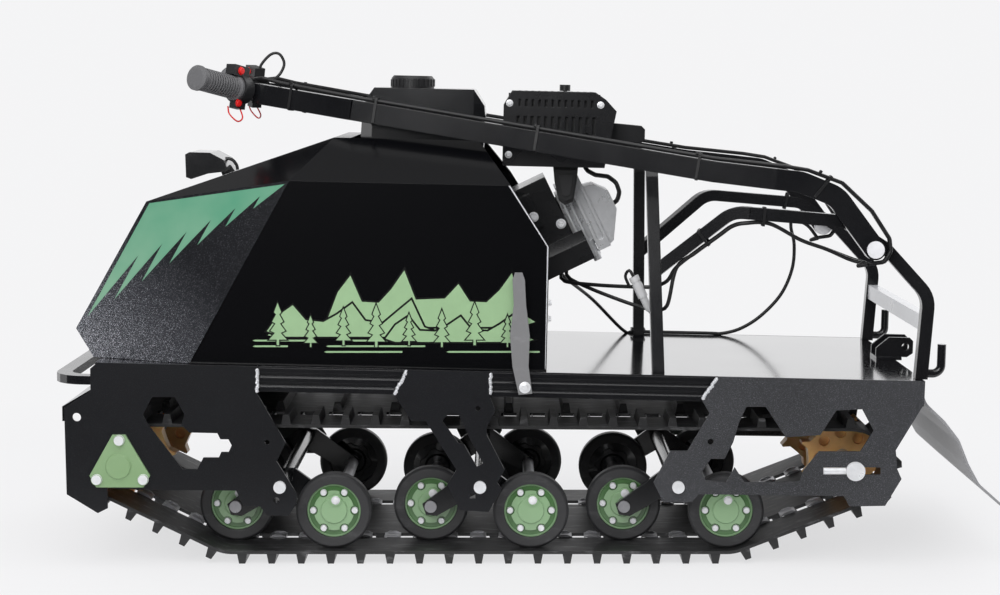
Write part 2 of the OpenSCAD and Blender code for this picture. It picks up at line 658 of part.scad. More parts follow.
// Slot with round ends, its length along X
module slot_outline(len, w) {
    square([len - w, w], center = true);
    for (k = [-1, 1]) translate([k * (len - w) / 2, 0]) circle(d = w);
}
module engine_shroud() {
    color("#1b1c1e") along_cylinder() {
        // Cooling-air duct round the barrel, open towards the head
        difference() {
            translate([-66, -84, cylinder_foot]) cube([160, 168, 96]);
            translate([-62, -80, cylinder_foot - 1]) cube([152, 160, 98]);
        }
        // Outer channel of the duct, which reaches past the head
        translate([0, 0, cylinder_foot]) linear_extrude(114)
            polygon([[-66, 82], [-66, 102], [-32, 102], [-14, 86], [-14, 82]]);
        // Raised band round the near face
        translate([20, 83, cylinder_foot]) cube([60, 8, 60]);
    }
}
module fuel_tank() {
    color("#141517") pitched() intersection() {
        upright(-tank_len / 2, tank_len) polygon([[84, tank_floor], [80, 404], [82, 425], [100, 452], [266, 452],
            [286, 425], [289, 371], [284, tank_floor]]);
        translate([184, 0, 300]) linear_extrude(200) polygon([[-104, -110], [-84, -135], [85, -135], [105, -110],
            [105, 110], [85, 135], [-84, 135], [-104, 110]]);
    }
}
module fuel_cap() {
    color("#101113") pitched() translate([208, 0, 452]) {
        cylinder(r = 37, h = 16);
        translate([0, 0, 16]) cylinder(r1 = 37, r2 = 33, h = 5);
    }
}
// Foot of a part that stands on the upper side of the cylinder head
head_bracket = [[-74, 310.5], [-59, 302.9], [-48, 337], [-86, 337]];
guard_in = 130;
guard_outline = [[-121, 326], [-139, 421], [-121, 440], [-103, 452], [36, 452], [50, 428], [50, 326]];
module muffler() {
    color("#55565a") pitched() {
        upright(24, 92) polygon([[-112, 336], [-120, 410], [-98, 434], [30, 434], [38, 420], [38, 336]]);
        upright(36, 24) polygon(head_bracket);
        for (x = [-90, 10]) translate([x, 0, 390]) bar_y(7, 116, guard_in);
        // Outlet that points to the rear
        upright(50, 40) polygon([[-117, 402], [-184, 397], [-190, 391], [-190, 374], [-184, 368], [-115, 372]]);
    }
}
module muffler_guard() {
    color("#1d1e20") pitched() difference() {
        upright(14, 118) polygon(guard_outline);
        upright(10, guard_in - 10) polygon([[-119, 320], [-136, 420], [-119, 438], [-102, 450], [35, 450], [48, 427], [48, 320]]);
        upright(48, 44) polygon([[-110, 406], [-150, 404], [-150, 364], [-110, 366]]);
        for (k = [0:11]) {
            translate([-100 + k * 11, 125, 426]) cube([4, 12, 12]);
            translate([-104 + k * 11.5, 125, 380]) cube([5, 12, 30]);
            translate([-100 + k * 11, 30, 444]) cube([4, 84, 12]);
        }
    }
}
module recoil_starter() {
    color("#1b1c1e") at_crank() {
        bar_y(124, -160, recoil_y);
        bar_y(104, -184, -160);
        bar_y(58, -196, -184);
        for (k = [0:11]) rotate([0, k * 30, 0]) translate([66, -190, -4]) cube([32, 6, 8]);
    }
}
module air_cleaner() {
    color("#1b1c1e") pitched() {
        upright(-150, 136) polygon([[-118, 330], [-124, 408], [-108, 428], [22, 428], [38, 408], [38, 330]]);
        upright(-60, 24) polygon(head_bracket);
        upright(-156, 6) polygon([[-100, 344], [-104, 400], [-94, 412], [10, 412], [20, 400], [20, 344]]);
        translate([-58, -82, 427]) cylinder(r = 4, h = 26);
        translate([-58, -82, 452]) cylinder(r = 9.5, h = 11);
    }
}

module breather_hose() {
    // Hose from under the air cleaner round to the end of the rocker cover
    route = [[-95, -32, 329.7], [-95, -32, 316], [-112, -4, 308], [-133, 22, 307], [-147, 30, 297],
        [-153, 30, 281], [-149.5, 30, 265.3], [-143.8, 30, 262.3]];
    color("#101113") pitched() tube(route, 4, 12);
}

// ---- Hood ----
hood_base_u = 549;
hood_crease_u = 392;
nose_in = 52 / 165;
// Half width of the flat nose side at a place ahead of the side panel
function nose_y(u, w) =
    hood_half_w - nose_in * (u - hood_base_u + w * (hood_base_u - hood_crease_u) / hood_crease_h);
function nose_point(u, w) = [u, nose_y(u, w), w];
hood_gap = 0.5;
hood_base = [hood_base_u, hood_half_w, hood_gap];
hood_rear = [-29, hood_half_w, hood_gap];
hood_rear_mid = [-29, hood_half_w, 203];
hood_crease_rear = [35, hood_half_w, hood_crease_h];
hood_crease_front = [hood_crease_u, hood_half_w, hood_crease_h];
hood_top_rear = [89, hood_top_half_w, hood_top_h];
hood_top_front = [329.5, hood_top_half_w, hood_top_h];
hood_brow = nose_point(633, 257);
hood_tip = nose_point(747, 45);
hood_chin = nose_point(714, hood_gap);
function other(p) = [p.x, -p.y, p.z];
// Flat sheet of thickness t on the inner side of a flat outline that runs anticlockwise from outside
module sheet(p, t = hood_t) {
    m = len(p);
    n = unit(cross(p[1] - p[0], p[2] - p[1]));
    polyhedron([for (q = p) q, for (q = p) q - n * t], concat(
        [[for (k = [m - 1:-1:0]) k], [for (k = [0:m - 1]) m + k]],
        [for (k = [0:m - 1]) [k, (k + 1) % m, (k + 1) % m + m, k + m]]));
}
module hood_side() {
    sheet([hood_rear, hood_rear_mid, hood_crease_rear, hood_crease_front, hood_base]);
    sheet([hood_crease_rear, hood_top_rear, hood_top_front, hood_crease_front]);
    sheet([hood_crease_front, hood_top_front, hood_brow]);
    sheet([hood_base, hood_crease_front, hood_brow, hood_tip, hood_chin]);
    // Stiffening flange along the bottom
    translate([hood_rear.x, hood_half_w - 1, hood_gap]) cube([hood_base_u - hood_rear.x, 8, 2]);
}
module hood() {
    color("#0f1012") pitched() union() {
        both() hood_side();
        sheet([hood_top_front, other(hood_top_front), other(hood_brow), hood_brow]);
        sheet([hood_brow, other(hood_brow), other(hood_tip), hood_tip]);
        sheet([hood_tip, other(hood_tip), other(hood_chin), hood_chin]);
        translate([302, -hood_top_half_w, hood_top_h - hood_t]) cube([28, 2 * hood_top_half_w, hood_t]);
    }
}
module headlight() {
    // Lamp pod on a bracket that stands on the hood's front slope
    slope = atan2(hood_top_front.z - hood_brow.z, hood_brow.x - hood_top_front.x);
    color("#26272a") pitched() difference() {
        translate([557, 0, 312]) {
            difference() {
                upright(-58, 116) polygon([[35, 18], [28, 22], [-7, 22], [-31, 10], [-36, -2], [-26, -11], [-4, -14],
                    [24, -24], [33, -21]]);
                translate([31, -52, -16]) cube([20, 104, 30]);
            }
            upright(-18, 36) polygon([[-17, 0], [-38, 0], [-62, -34], [-18, -50], [-18, -40], [-30, -36]]);
        }
        translate(hood_top_front) rotate([0, slope, 0])
            translate([0, -2 * hood_top_half_w, fit - 100]) cube([400, 2 * hood_top_half_w, 100]);
    }
}
module latch_straps() {
    // Rubber strap from a stud on the plate up to the hood's side
    color("#101113") both() upright(plate_out + 0.3, 4) difference() {
        polygon([[-6, 286], [16, 284], [26, 330], [30, 380], [24, 430], [26, 470], [22, 482], [10, 482], [6, 470],
            [4, 430], [-2, 380], [0, 330]]);
        translate([6, 296]) circle(r = 4);
    }
    color("#d8dadd") both() translate([6, 0, 296]) bar_y(3.8, plate_out - plate_t, plate_out + 6);
}

// ---- Handle ----
arm_join = [-390, 320.7];
arm_dip = [-290, 330];
arm_knee = [300, 158, 414.2];
bar_corner = [479, 92, 439];
grip_end = [550, 200, 461];
// Children along the straight line from p to q, with Z of the child on the line
module along(p, q) {
    d = q - p;
    translate(p) rotate([0, acos(d.z / norm(d)), atan2(d.y, d.x)]) children();
}
bar_r = 11;
// Point at the distance s along the turned-up end of the bar
function on_end(s) = bar_corner + unit(grip_end - bar_corner) * s;
module handle_arms() {
    rear_path = bent([handle_pivot, [-487, 295], [-430, 317], arm_join + [1.5, 0.1]], 45);
    stop = bar_corner - (bar_r + fit) * unit(bar_corner - arm_knee);
    color("#131416") pitched() both() {
        upright(arm_y - arm_w / 2, arm_w) difference() {
            union() {
                polygon(ribbon(rear_path, arm_h));
                translate(handle_pivot) circle(r = arm_h / 2);
            }
            translate(handle_pivot) circle(r = pivot_pin_r + fit);
        }
        plan_run([arm_join.x, arm_y], arm_knee, [arm_join, arm_dip, [arm_knee.x, arm_knee.z]], arm_h, arm_w);
        plan_run(arm_knee, bar_corner, [[arm_knee.x, arm_knee.z], [stop.x, stop.z]], arm_h, arm_w);
    }
}
module handlebar() {
    path = bent([other(grip_end), other(bar_corner), bar_corner, grip_end], 12);
    color("#1b1c1e") pitched() sweep(path, round_section(bar_r, 16), [1, 0, 0]);
}
module grip() {
    // Ribbed sleeve with a flange at each end, closed outside
    r = grip_d / 2;
    bore = bar_r + fit;
    rotate_extrude() polygon([[bore, 0], [r + 3, 0], [r + 3, 5], [r, 9], [r - 1, grip_len / 2], [r, grip_len - 9],
        [r + 3, grip_len - 5], [r + 3, grip_len], [r - 3, grip_len + 2], [0, grip_len + 2], [0, grip_len - 2],
        [bore, grip_len - 2]]);
}
// Children along the bar's turned-up end, from the distance s on
module along_end(s) {
    along(on_end(s), on_end(s + 100)) children();
}
grip_start = norm(grip_end - bar_corner) - grip_len + 4;
module grips() {
    color("#5a5a5c") pitched() both() along_end(grip_start) grip();
}
control_start = 15;
module hand_controls() {
    // Drum round the bar with a switch block above and a lever block below
    drum = grip_start - control_start - 0.5;
    color("#202124") pitched() both() difference() {
        along_end(control_start) {
            cylinder(r = 24, h = drum);
            translate([-38, -10, 2]) cube([20, 20, 38]);
            translate([16, -9, 2]) cube([17, 18, drum - 2]);
        }
        along_end(0) cylinder(r = bar_r + fit, h = grip_start);
        along_end(grip_start - 0.5) cylinder(r = grip_d / 2 + 4, h = 60);
    }
}

// ---- Control cables ----
cable_r = 3.2;
lay = cable_r + 0.2;
wrap_r = 26;
wrap_end = 292;
on_arm = arm_h / 2 + cable_r + 1;
end_dir = unit(grip_end - bar_corner);
end_up = unit([0, 0, 1] - end_dir * end_dir.z);
end_side = cross(end_up, end_dir);
// Place beside the handle's pivot at the wrap's radius
function at_wrap(a, y) = [handle_pivot.x + wrap_r * cos(a), y, handle_pivot.y + wrap_r * sin(a)];
// Place under the engine's duct, at the distances from the crank along and below the cylinder
function under_duct(out, below, y) = [crank_u - out * cos(cylinder_lean) - below * sin(cylinder_lean), y,
    crank_w + out * sin(cylinder_lean) - below * cos(cylinder_lean)];
module handle_cables() {
    // Two cables from the controls along the arm, round its rear curve and under the pivot
    color("#101113") pitched() both() for (k = [-lay, lay]) {
        y = arm_y + k;
        tube([on_end(control_start - fit) + end_up * 20 + end_side * k, on_end(4) + end_up * 20 + end_side * k,
            [456, 101 + k, 463], [422, 113 + k, 434 + on_arm], arm_knee + [0, k, on_arm],
            [arm_dip.x, 255.6 + k, arm_dip.y + on_arm], [arm_join.x - 10, y, arm_join.y + on_arm],
            [-440, y, 336.5], [-496, y, 317], [-545, y, 273], [-575, y, 229], at_wrap(185, y), at_wrap(230, y),
            at_wrap(wrap_end, y)], cable_r, 9);
    }
}
module rail_cables() {
    start = at_wrap(wrap_end, rail_half + tube_w / 2 - cable_r - fit);
    under = side_turn.y - tube_w / 2 - cable_r - fit;
    color("#101113") pitched() {
        // Near side: under the rail, down behind the hoop's post and over to the engine
        for (k = [0, 1]) {
            y = rail_half + (2 * k - 1) * lay;
            tube([start + [6 * k, 0, 0], [-520 + 6 * k, y, 193], [-436, y, 222], [-385, y, under - 3],
                [-345, y, under - 3], [-325, y - 8, 241], [-306, y - 14, 226], [-268, y - 26, 195],
                [-239, y - 35, 169], [-225, 205 + 10 * k, 146 - 40 * k], [-221, 191, 137 - 38 * k],
                [-186, 184, 133 - 34 * k], [-118, 140, 130 - 12 * k],
                under_duct(150 + 10 * k, 82, 76), under_duct(150 + 10 * k, 66.3, 76)], cable_r, 8);
        }
        // Far side: a free bow from the rail down to the deck, then past the post's foot to the engine
        mirror([0, 1, 0]) tube([start, [-520, rail_half, 212], [-484, rail_half + 2, 230],
            [-494, 256, 205], [-501, 261, 174], [-497, 264, 128], [-478, 265, 78], [-442, 265, 36],
            [-398, 265, 8], [-370, 265, cable_r + fit], [-190, 265, cable_r + fit], [-120, 180, 72],
            under_duct(150, 86, 50), under_duct(150, 66.3, 50)], cable_r, 8);
    }
}

frame_rails();
cross_members();
deck_sheet();
front_plates();
middle_plates();
rear_plates();
bumper();
front_guard();
hoop();
side_rail_left();
side_rail_right();
rear_bar();
pivot_pins();
tow_bracket();
tie_hooks();
track();
drive_sprockets();
idler_sprockets();
drive_shaft();
idler_shaft();
tensioners();
bearing_covers();
pivot_bolts();
pivot_tubes();
bogie_arms();
wheel_axles();
wheel_discs();
wheel_tyres();
mud_flap();
crankcase();
cylinder_barrel();
cylinder_head();
engine_shroud();
fuel_tank();
fuel_cap();
muffler();
muffler_guard();
recoil_starter();
air_cleaner();
breather_hose();
hood();
headlight();
latch_straps();
handle_arms();
handlebar();
grips();
hand_controls();
handle_cables();
rail_cables();
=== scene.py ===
"""Finishes, small parts and studio for a tracked snow towing vehicle."""

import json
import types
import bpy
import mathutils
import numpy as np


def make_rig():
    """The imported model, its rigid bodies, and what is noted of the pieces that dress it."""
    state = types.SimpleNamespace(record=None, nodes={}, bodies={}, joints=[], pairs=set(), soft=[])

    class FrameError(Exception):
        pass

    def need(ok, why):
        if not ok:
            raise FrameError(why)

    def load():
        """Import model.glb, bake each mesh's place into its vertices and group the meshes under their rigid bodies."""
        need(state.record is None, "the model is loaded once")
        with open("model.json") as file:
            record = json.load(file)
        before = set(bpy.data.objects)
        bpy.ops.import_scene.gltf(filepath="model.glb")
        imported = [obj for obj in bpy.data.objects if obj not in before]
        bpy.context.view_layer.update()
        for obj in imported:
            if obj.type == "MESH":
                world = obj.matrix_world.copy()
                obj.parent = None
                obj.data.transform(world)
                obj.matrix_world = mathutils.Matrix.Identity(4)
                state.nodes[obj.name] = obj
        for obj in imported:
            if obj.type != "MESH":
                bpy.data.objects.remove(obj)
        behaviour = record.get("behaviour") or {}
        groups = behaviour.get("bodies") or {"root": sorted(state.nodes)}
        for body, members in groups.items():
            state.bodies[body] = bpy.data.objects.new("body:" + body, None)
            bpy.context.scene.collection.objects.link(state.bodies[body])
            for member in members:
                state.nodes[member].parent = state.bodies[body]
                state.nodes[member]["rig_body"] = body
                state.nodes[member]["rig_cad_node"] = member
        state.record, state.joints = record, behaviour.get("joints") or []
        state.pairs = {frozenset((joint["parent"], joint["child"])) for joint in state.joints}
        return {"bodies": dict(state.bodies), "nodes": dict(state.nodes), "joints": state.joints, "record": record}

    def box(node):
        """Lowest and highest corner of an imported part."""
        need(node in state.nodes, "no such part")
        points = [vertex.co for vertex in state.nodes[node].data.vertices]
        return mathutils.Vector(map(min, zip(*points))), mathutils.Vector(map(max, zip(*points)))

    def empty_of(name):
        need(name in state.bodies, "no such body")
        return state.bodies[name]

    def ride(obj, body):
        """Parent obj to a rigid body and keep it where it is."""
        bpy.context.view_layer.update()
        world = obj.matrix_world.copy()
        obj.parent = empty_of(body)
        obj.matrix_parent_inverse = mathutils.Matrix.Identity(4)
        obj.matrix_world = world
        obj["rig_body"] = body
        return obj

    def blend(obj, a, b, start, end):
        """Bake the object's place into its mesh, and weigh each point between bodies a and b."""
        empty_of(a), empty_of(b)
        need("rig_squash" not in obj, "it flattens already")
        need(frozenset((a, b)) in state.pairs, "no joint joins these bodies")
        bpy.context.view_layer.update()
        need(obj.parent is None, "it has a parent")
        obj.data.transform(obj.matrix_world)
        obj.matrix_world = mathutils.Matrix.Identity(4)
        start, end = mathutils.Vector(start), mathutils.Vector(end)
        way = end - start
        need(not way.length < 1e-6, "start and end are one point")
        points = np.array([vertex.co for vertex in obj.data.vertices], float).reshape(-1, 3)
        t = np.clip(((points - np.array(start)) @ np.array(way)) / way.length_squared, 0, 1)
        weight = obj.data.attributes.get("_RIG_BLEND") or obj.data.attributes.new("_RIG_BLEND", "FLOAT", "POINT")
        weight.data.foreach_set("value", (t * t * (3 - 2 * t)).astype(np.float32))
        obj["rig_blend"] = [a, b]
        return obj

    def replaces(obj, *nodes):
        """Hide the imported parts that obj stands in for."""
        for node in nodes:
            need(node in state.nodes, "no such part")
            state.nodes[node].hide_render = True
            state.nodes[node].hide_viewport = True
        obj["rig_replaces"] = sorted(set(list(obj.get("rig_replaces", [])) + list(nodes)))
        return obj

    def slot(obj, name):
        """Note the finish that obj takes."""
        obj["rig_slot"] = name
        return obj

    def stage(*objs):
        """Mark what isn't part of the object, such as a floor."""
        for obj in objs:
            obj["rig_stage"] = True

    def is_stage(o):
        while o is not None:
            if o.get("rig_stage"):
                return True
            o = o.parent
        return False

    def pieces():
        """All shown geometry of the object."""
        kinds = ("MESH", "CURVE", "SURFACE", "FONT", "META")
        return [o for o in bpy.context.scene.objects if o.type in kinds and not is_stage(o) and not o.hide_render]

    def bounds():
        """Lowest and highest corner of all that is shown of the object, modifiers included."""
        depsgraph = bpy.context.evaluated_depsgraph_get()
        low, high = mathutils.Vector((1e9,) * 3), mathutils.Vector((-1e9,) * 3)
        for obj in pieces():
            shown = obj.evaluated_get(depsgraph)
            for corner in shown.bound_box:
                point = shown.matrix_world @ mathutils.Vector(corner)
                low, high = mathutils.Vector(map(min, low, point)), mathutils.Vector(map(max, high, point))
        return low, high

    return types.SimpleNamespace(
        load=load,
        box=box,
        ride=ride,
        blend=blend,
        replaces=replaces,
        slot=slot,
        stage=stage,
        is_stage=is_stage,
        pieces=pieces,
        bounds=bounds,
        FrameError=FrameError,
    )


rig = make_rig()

bl_info = {
    "name": "Snow Tug Looks",
    "version": (1, 0, 0),
    "blender": (4, 5, 0),
    "location": "View3D > Sidebar > Snow Tug",
    "description": "Dresses the packed snow tug with finishes, small parts and a studio",
    "category": "Object",
}

import json
import math
import random

import bmesh
import bpy
from bpy.props import FloatProperty, FloatVectorProperty, IntProperty, PointerProperty
from mathutils import Matrix, Vector

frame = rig.load()
CAD_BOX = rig.bounds()
CAD = frame["nodes"]
SLIDE_AXIS = Vector(next(j["axis"] for j in frame["joints"] if j["name"] == "hood_lift_off"))
PITCH = math.atan2(SLIDE_AXIS.z, SLIDE_AXIS.x)
DECK_HEIGHT = 0.320
PLATE_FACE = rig.box("front_plates")[1].y
HOOD_SIDE = 0.267
MM = 0.001
BOGIES = (0.4025, 0.0785, -0.2425)
BOGIE_HALF = 0.083
WHEEL_Z = (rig.box("wheel_discs")[0].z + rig.box("wheel_discs")[1].z) / 2
INNER_WHEEL_Y = 0.163
OUTER_WHEEL_Y = 0.2195
DRIVE = (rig.box("drive_shaft")[0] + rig.box("drive_shaft")[1]) / 2
IDLER = (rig.box("idler_shaft")[0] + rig.box("idler_shaft")[1]) / 2
CRANK = (0.110, 0.134)
CYLINDER_LEAN = math.radians(27)
IMAGE_SIZE = (1000, 595)
STUDIO_WHITE = (0.945, 0.945, 0.955, 1)
STUDIO_GLOW = 0.96


# ---- Places ----
def deck(u, y, w):
    """Point given along, across and above the tilted deck, in metres."""
    c = math.cos(PITCH)
    s = math.sin(PITCH)
    return Vector((u * c - w * s, y, DECK_HEIGHT + u * s + w * c))


def deck_way(u, y, w):
    """Direction given in the tilted deck's frame."""
    return deck(u, y, w) - deck(0, 0, 0)


def engine(out, y, rise):
    """Point along the cylinder's axis from the crank, across, and above the axis."""
    c = math.cos(CYLINDER_LEAN)
    s = math.sin(CYLINDER_LEAN)
    return deck(CRANK[0] - out * c + rise * s, y, CRANK[1] + out * s + rise * c)


def other(v):
    """The mirror image on the other side."""
    return Vector((v[0], -v[1], v[2]))


BOTH_SIDES = (Vector, other)
WHEELS = [(x + dx, y, side) for x in BOGIES
          for dx, y in ((BOGIE_HALF, INNER_WHEEL_Y), (-BOGIE_HALF, OUTER_WHEEL_Y)) for side in (1, -1)]
PIVOT_U = -0.5518
PIVOT_W = 0.2112
CABLE_WRAP = 0.026
WRAP_END = math.radians(292)
WHEEL_BOLT_RING = 0.0342
BAR_CORNER = deck(0.479, 0.092, 0.439)
GRIP_END = deck(0.550, 0.200, 0.461)
BAR_WAY = (GRIP_END - BAR_CORNER).normalized()
BAR_UP = (deck_way(0, 0, 1) - BAR_WAY * BAR_WAY.dot(deck_way(0, 0, 1))).normalized()
BAR_SIDE = BAR_UP.cross(BAR_WAY)


def on_bar(along, up=0.0, side=0.0):
    """Point beside the turned-up end of the left handlebar."""
    return BAR_CORNER + BAR_WAY * along + BAR_UP * up + BAR_SIDE * side


def arm_centre(u):
    """Middle of the left handle arm ahead of its rear curve."""
    if u > 0.300:
        t = (u - 0.300) / 0.179
        return deck(u, 0.158 - 0.066 * t, 0.4142 + 0.0248 * t)
    w = 0.330 + (u + 0.290) * 0.1427 if u > -0.290 else 0.3207 + (u + 0.390) * 0.093
    return deck(u, 0.158 + (0.300 - u) * 0.1652, w)


# ---- Node materials ----
class NodeKit:
    """Adds nodes to a tree: the helpers return output sockets."""

    def __init__(self, tree):
        self.tree = tree

    def add(self, kind, **settings):
        node = self.tree.nodes.new(kind)
        for key, value in settings.items():
            setattr(node, key, value)
        return node

    def plug(self, value, socket):
        if isinstance(value, bpy.types.NodeSocket):
            self.tree.links.new(value, socket)
        else:
            socket.default_value = value

    def part(self, name, value):
        """One of X, Y and Z of a vector."""
        node = self.add("ShaderNodeSeparateXYZ")
        self.plug(value, node.inputs[0])
        return node.outputs[name]

    def sum(self, operation, a, b=0.0, c=0.0):
        node = self.add("ShaderNodeMath", operation=operation)
        for value, socket in zip((a, b, c), node.inputs):
            self.plug(value, socket)
        return node.outputs[0]

    def span(self, value, low, high, to_low=0.0, to_high=1.0):
        node = self.add("ShaderNodeMapRange")
        for key, item in zip(("Value", "From Min", "From Max", "To Min", "To Max"),
                             (value, low, high, to_low, to_high)):
            self.plug(item, node.inputs[key])
        return node.outputs["Result"]

    def mix(self, factor, a, b):
        """Number between a and b."""
        node = self.add("ShaderNodeMix")
        for value, index in ((factor, 0), (a, 2), (b, 3)):
            self.plug(value, node.inputs[index])
        return node.outputs[0]


class Finish(NodeKit):
    """One procedural material on the part."""

    def __init__(self, name, rough=0.5, metal=0.0, **sockets):
        self.mat = bpy.data.materials.new(name)
        self.mat.use_nodes = True
        super().__init__(self.mat.node_tree)
        self.shader = self.tree.nodes["Principled BSDF"]
        self.shader.inputs["Roughness"].default_value = rough
        self.shader.inputs["Metallic"].default_value = metal
        for key, value in sockets.items():
            self.shader.inputs[key.replace("_", " ")].default_value = value
        self.coords = self.add("ShaderNodeTexCoord").outputs["Object"]

    def stretched(self, x, y, z, turn=(0, 0, 0)):
        node = self.add("ShaderNodeMapping")
        self.plug(self.coords, node.inputs["Vector"])
        node.inputs["Scale"].default_value = (x, y, z)
        node.inputs["Rotation"].default_value = turn
        return node.outputs["Vector"]

    def noise(self, scale, detail=2.0, rough=0.5, coords=None):
        node = self.add("ShaderNodeTexNoise")
        self.plug(coords or self.coords, node.inputs["Vector"])
        node.inputs["Scale"].default_value = scale
        node.inputs["Detail"].default_value = detail
        node.inputs["Roughness"].default_value = rough
        return node.outputs["Fac"]

    def axis(self, name, coords=None):
        return self.part(name, coords or self.coords)

    def blend(self, factor, a, b):
        node = self.add("ShaderNodeMix", data_type="RGBA")
        self.plug(factor, node.inputs["Factor"])
        self.plug(a if isinstance(a, bpy.types.NodeSocket) else (*a, 1), node.inputs[6])
        self.plug(b if isinstance(b, bpy.types.NodeSocket) else (*b, 1), node.inputs[7])
        return node.outputs[2]

    def color(self, value):
        self.plug(value, self.shader.inputs["Base Color"])

    def rough(self, value):
        self.plug(value, self.shader.inputs["Roughness"])

    def relief(self, height, strength, distance=0.001, edge=0.0):
        """Bump from a height, on top of edges rounded by a small radius."""
        bump = self.add("ShaderNodeBump")
        bump.inputs["Strength"].default_value = strength
        bump.inputs["Distance"].default_value = distance
        self.plug(height, bump.inputs["Height"])
        if edge:
            bevel = self.add("ShaderNodeBevel", samples=4)
            bevel.inputs["Radius"].default_value = edge
            self.plug(bevel.outputs["Normal"], bump.inputs["Normal"])
        self.plug(bump.outputs["Normal"], self.shader.inputs["Normal"])


def paint(name, color, rough=0.3, peel=0.06, fleck=0.0, coat=0.4, edge=0.0008, dust=0.03):
    """Sprayed paint: orange peel, faint dust in patches and optional bright flecks."""
    f = Finish(name, rough, Coat_Weight=coat, Coat_Roughness=0.12)
    patch = f.noise(9.0, 4.0, 0.6)
    tone = f.blend(f.span(patch, 0.35, 0.75), color, [c + dust * (0.4 - c) for c in color])
    if fleck:
        grain = f.noise(1500.0, 1.0)
        lit = f.span(grain, 0.60, 0.78, 0.0, fleck)
        tone = f.blend(lit, tone, (0.75, 0.76, 0.8))
    f.color(tone)
    f.rough(f.span(patch, 0.3, 0.8, rough * 0.85, rough * 1.2))
    f.relief(f.noise(420.0, 2.0), peel, 0.0006, edge)
    return f.mat


def powder_coat(name, color, fleck=0.25, rough=0.5, edge=0.0006):
    """Wrinkled powder coat; pale points painted into its grain stand in for the glints where the grain catches the
    light.
    """
    f = Finish(name, rough, Coat_Weight=0.12, Coat_Roughness=0.35)
    grain = f.noise(780.0, 2.5, 0.65)
    wide = f.noise(5.0, 3.0)
    base = f.blend(f.span(wide, 0.3, 0.7), [c * 0.85 for c in color], [min(1, c * 1.2) for c in color])
    # Painted glints: pale points laid into the grain's colour.
    lit = f.span(grain, 0.56, 0.74, 0.0, fleck)
    f.color(f.blend(lit, base, (0.62, 0.63, 0.68)))
    f.rough(f.span(grain, 0.3, 0.7, rough * 1.15, rough * 0.75))
    f.relief(grain, 0.28, 0.0006, edge)
    return f.mat


def rubber(name, color, rough=0.62, scuff=0.3, grain=240.0, edge=0.001):
    """Moulded rubber with scuffs that run along it."""
    f = Finish(name, rough)
    streak = f.noise(60.0, 5.0, 0.7, f.stretched(0.35, 1.6, 1.0))
    worn = f.span(streak, 0.55, 0.78, 0.0, scuff)
    f.color(f.blend(worn, color, (0.30, 0.30, 0.31)))
    f.rough(f.span(streak, 0.3, 0.8, rough, rough * 0.8))
    f.relief(f.noise(grain, 4.0, 0.6), 0.22, 0.0008, edge)
    return f.mat


def metal(name, color, rough=0.25, brushed=0.0, cast=0.0, edge=0.0006, metallic=1.0):
    """Bare or plated metal, brushed or cast."""
    f = Finish(name, rough, metallic)
    stain = f.noise(35.0, 4.0, 0.6)
    f.color(f.blend(f.span(stain, 0.35, 0.8), color, [c * 0.72 for c in color]))
    f.rough(f.span(stain, 0.3, 0.8, rough * 0.8, min(1, rough * 1.5)))
    if brushed:
        height = f.noise(900.0, 2.0, 0.5, f.stretched(1, 0.04, 1))
        f.relief(height, brushed, 0.0004, edge)
    else:
        f.relief(f.noise(500.0, 4.0, 0.6), 0.05 + cast, 0.0008, edge)
    return f.mat


def plastic(name, color, rough=0.45, grain=0.12, edge=0.0008):
    """Moulded plastic with a fine spark-eroded grain."""
    f = Finish(name, rough)
    wear = f.noise(14.0, 4.0)
    f.color(f.blend(f.span(wear, 0.35, 0.75), color, [c * 1.25 + 0.004 for c in color]))
    f.rough(f.span(wear, 0.3, 0.8, rough * 0.85, rough * 1.15))
    f.relief(f.noise(1100.0, 2.0), grain, 0.0005, edge)
    return f.mat


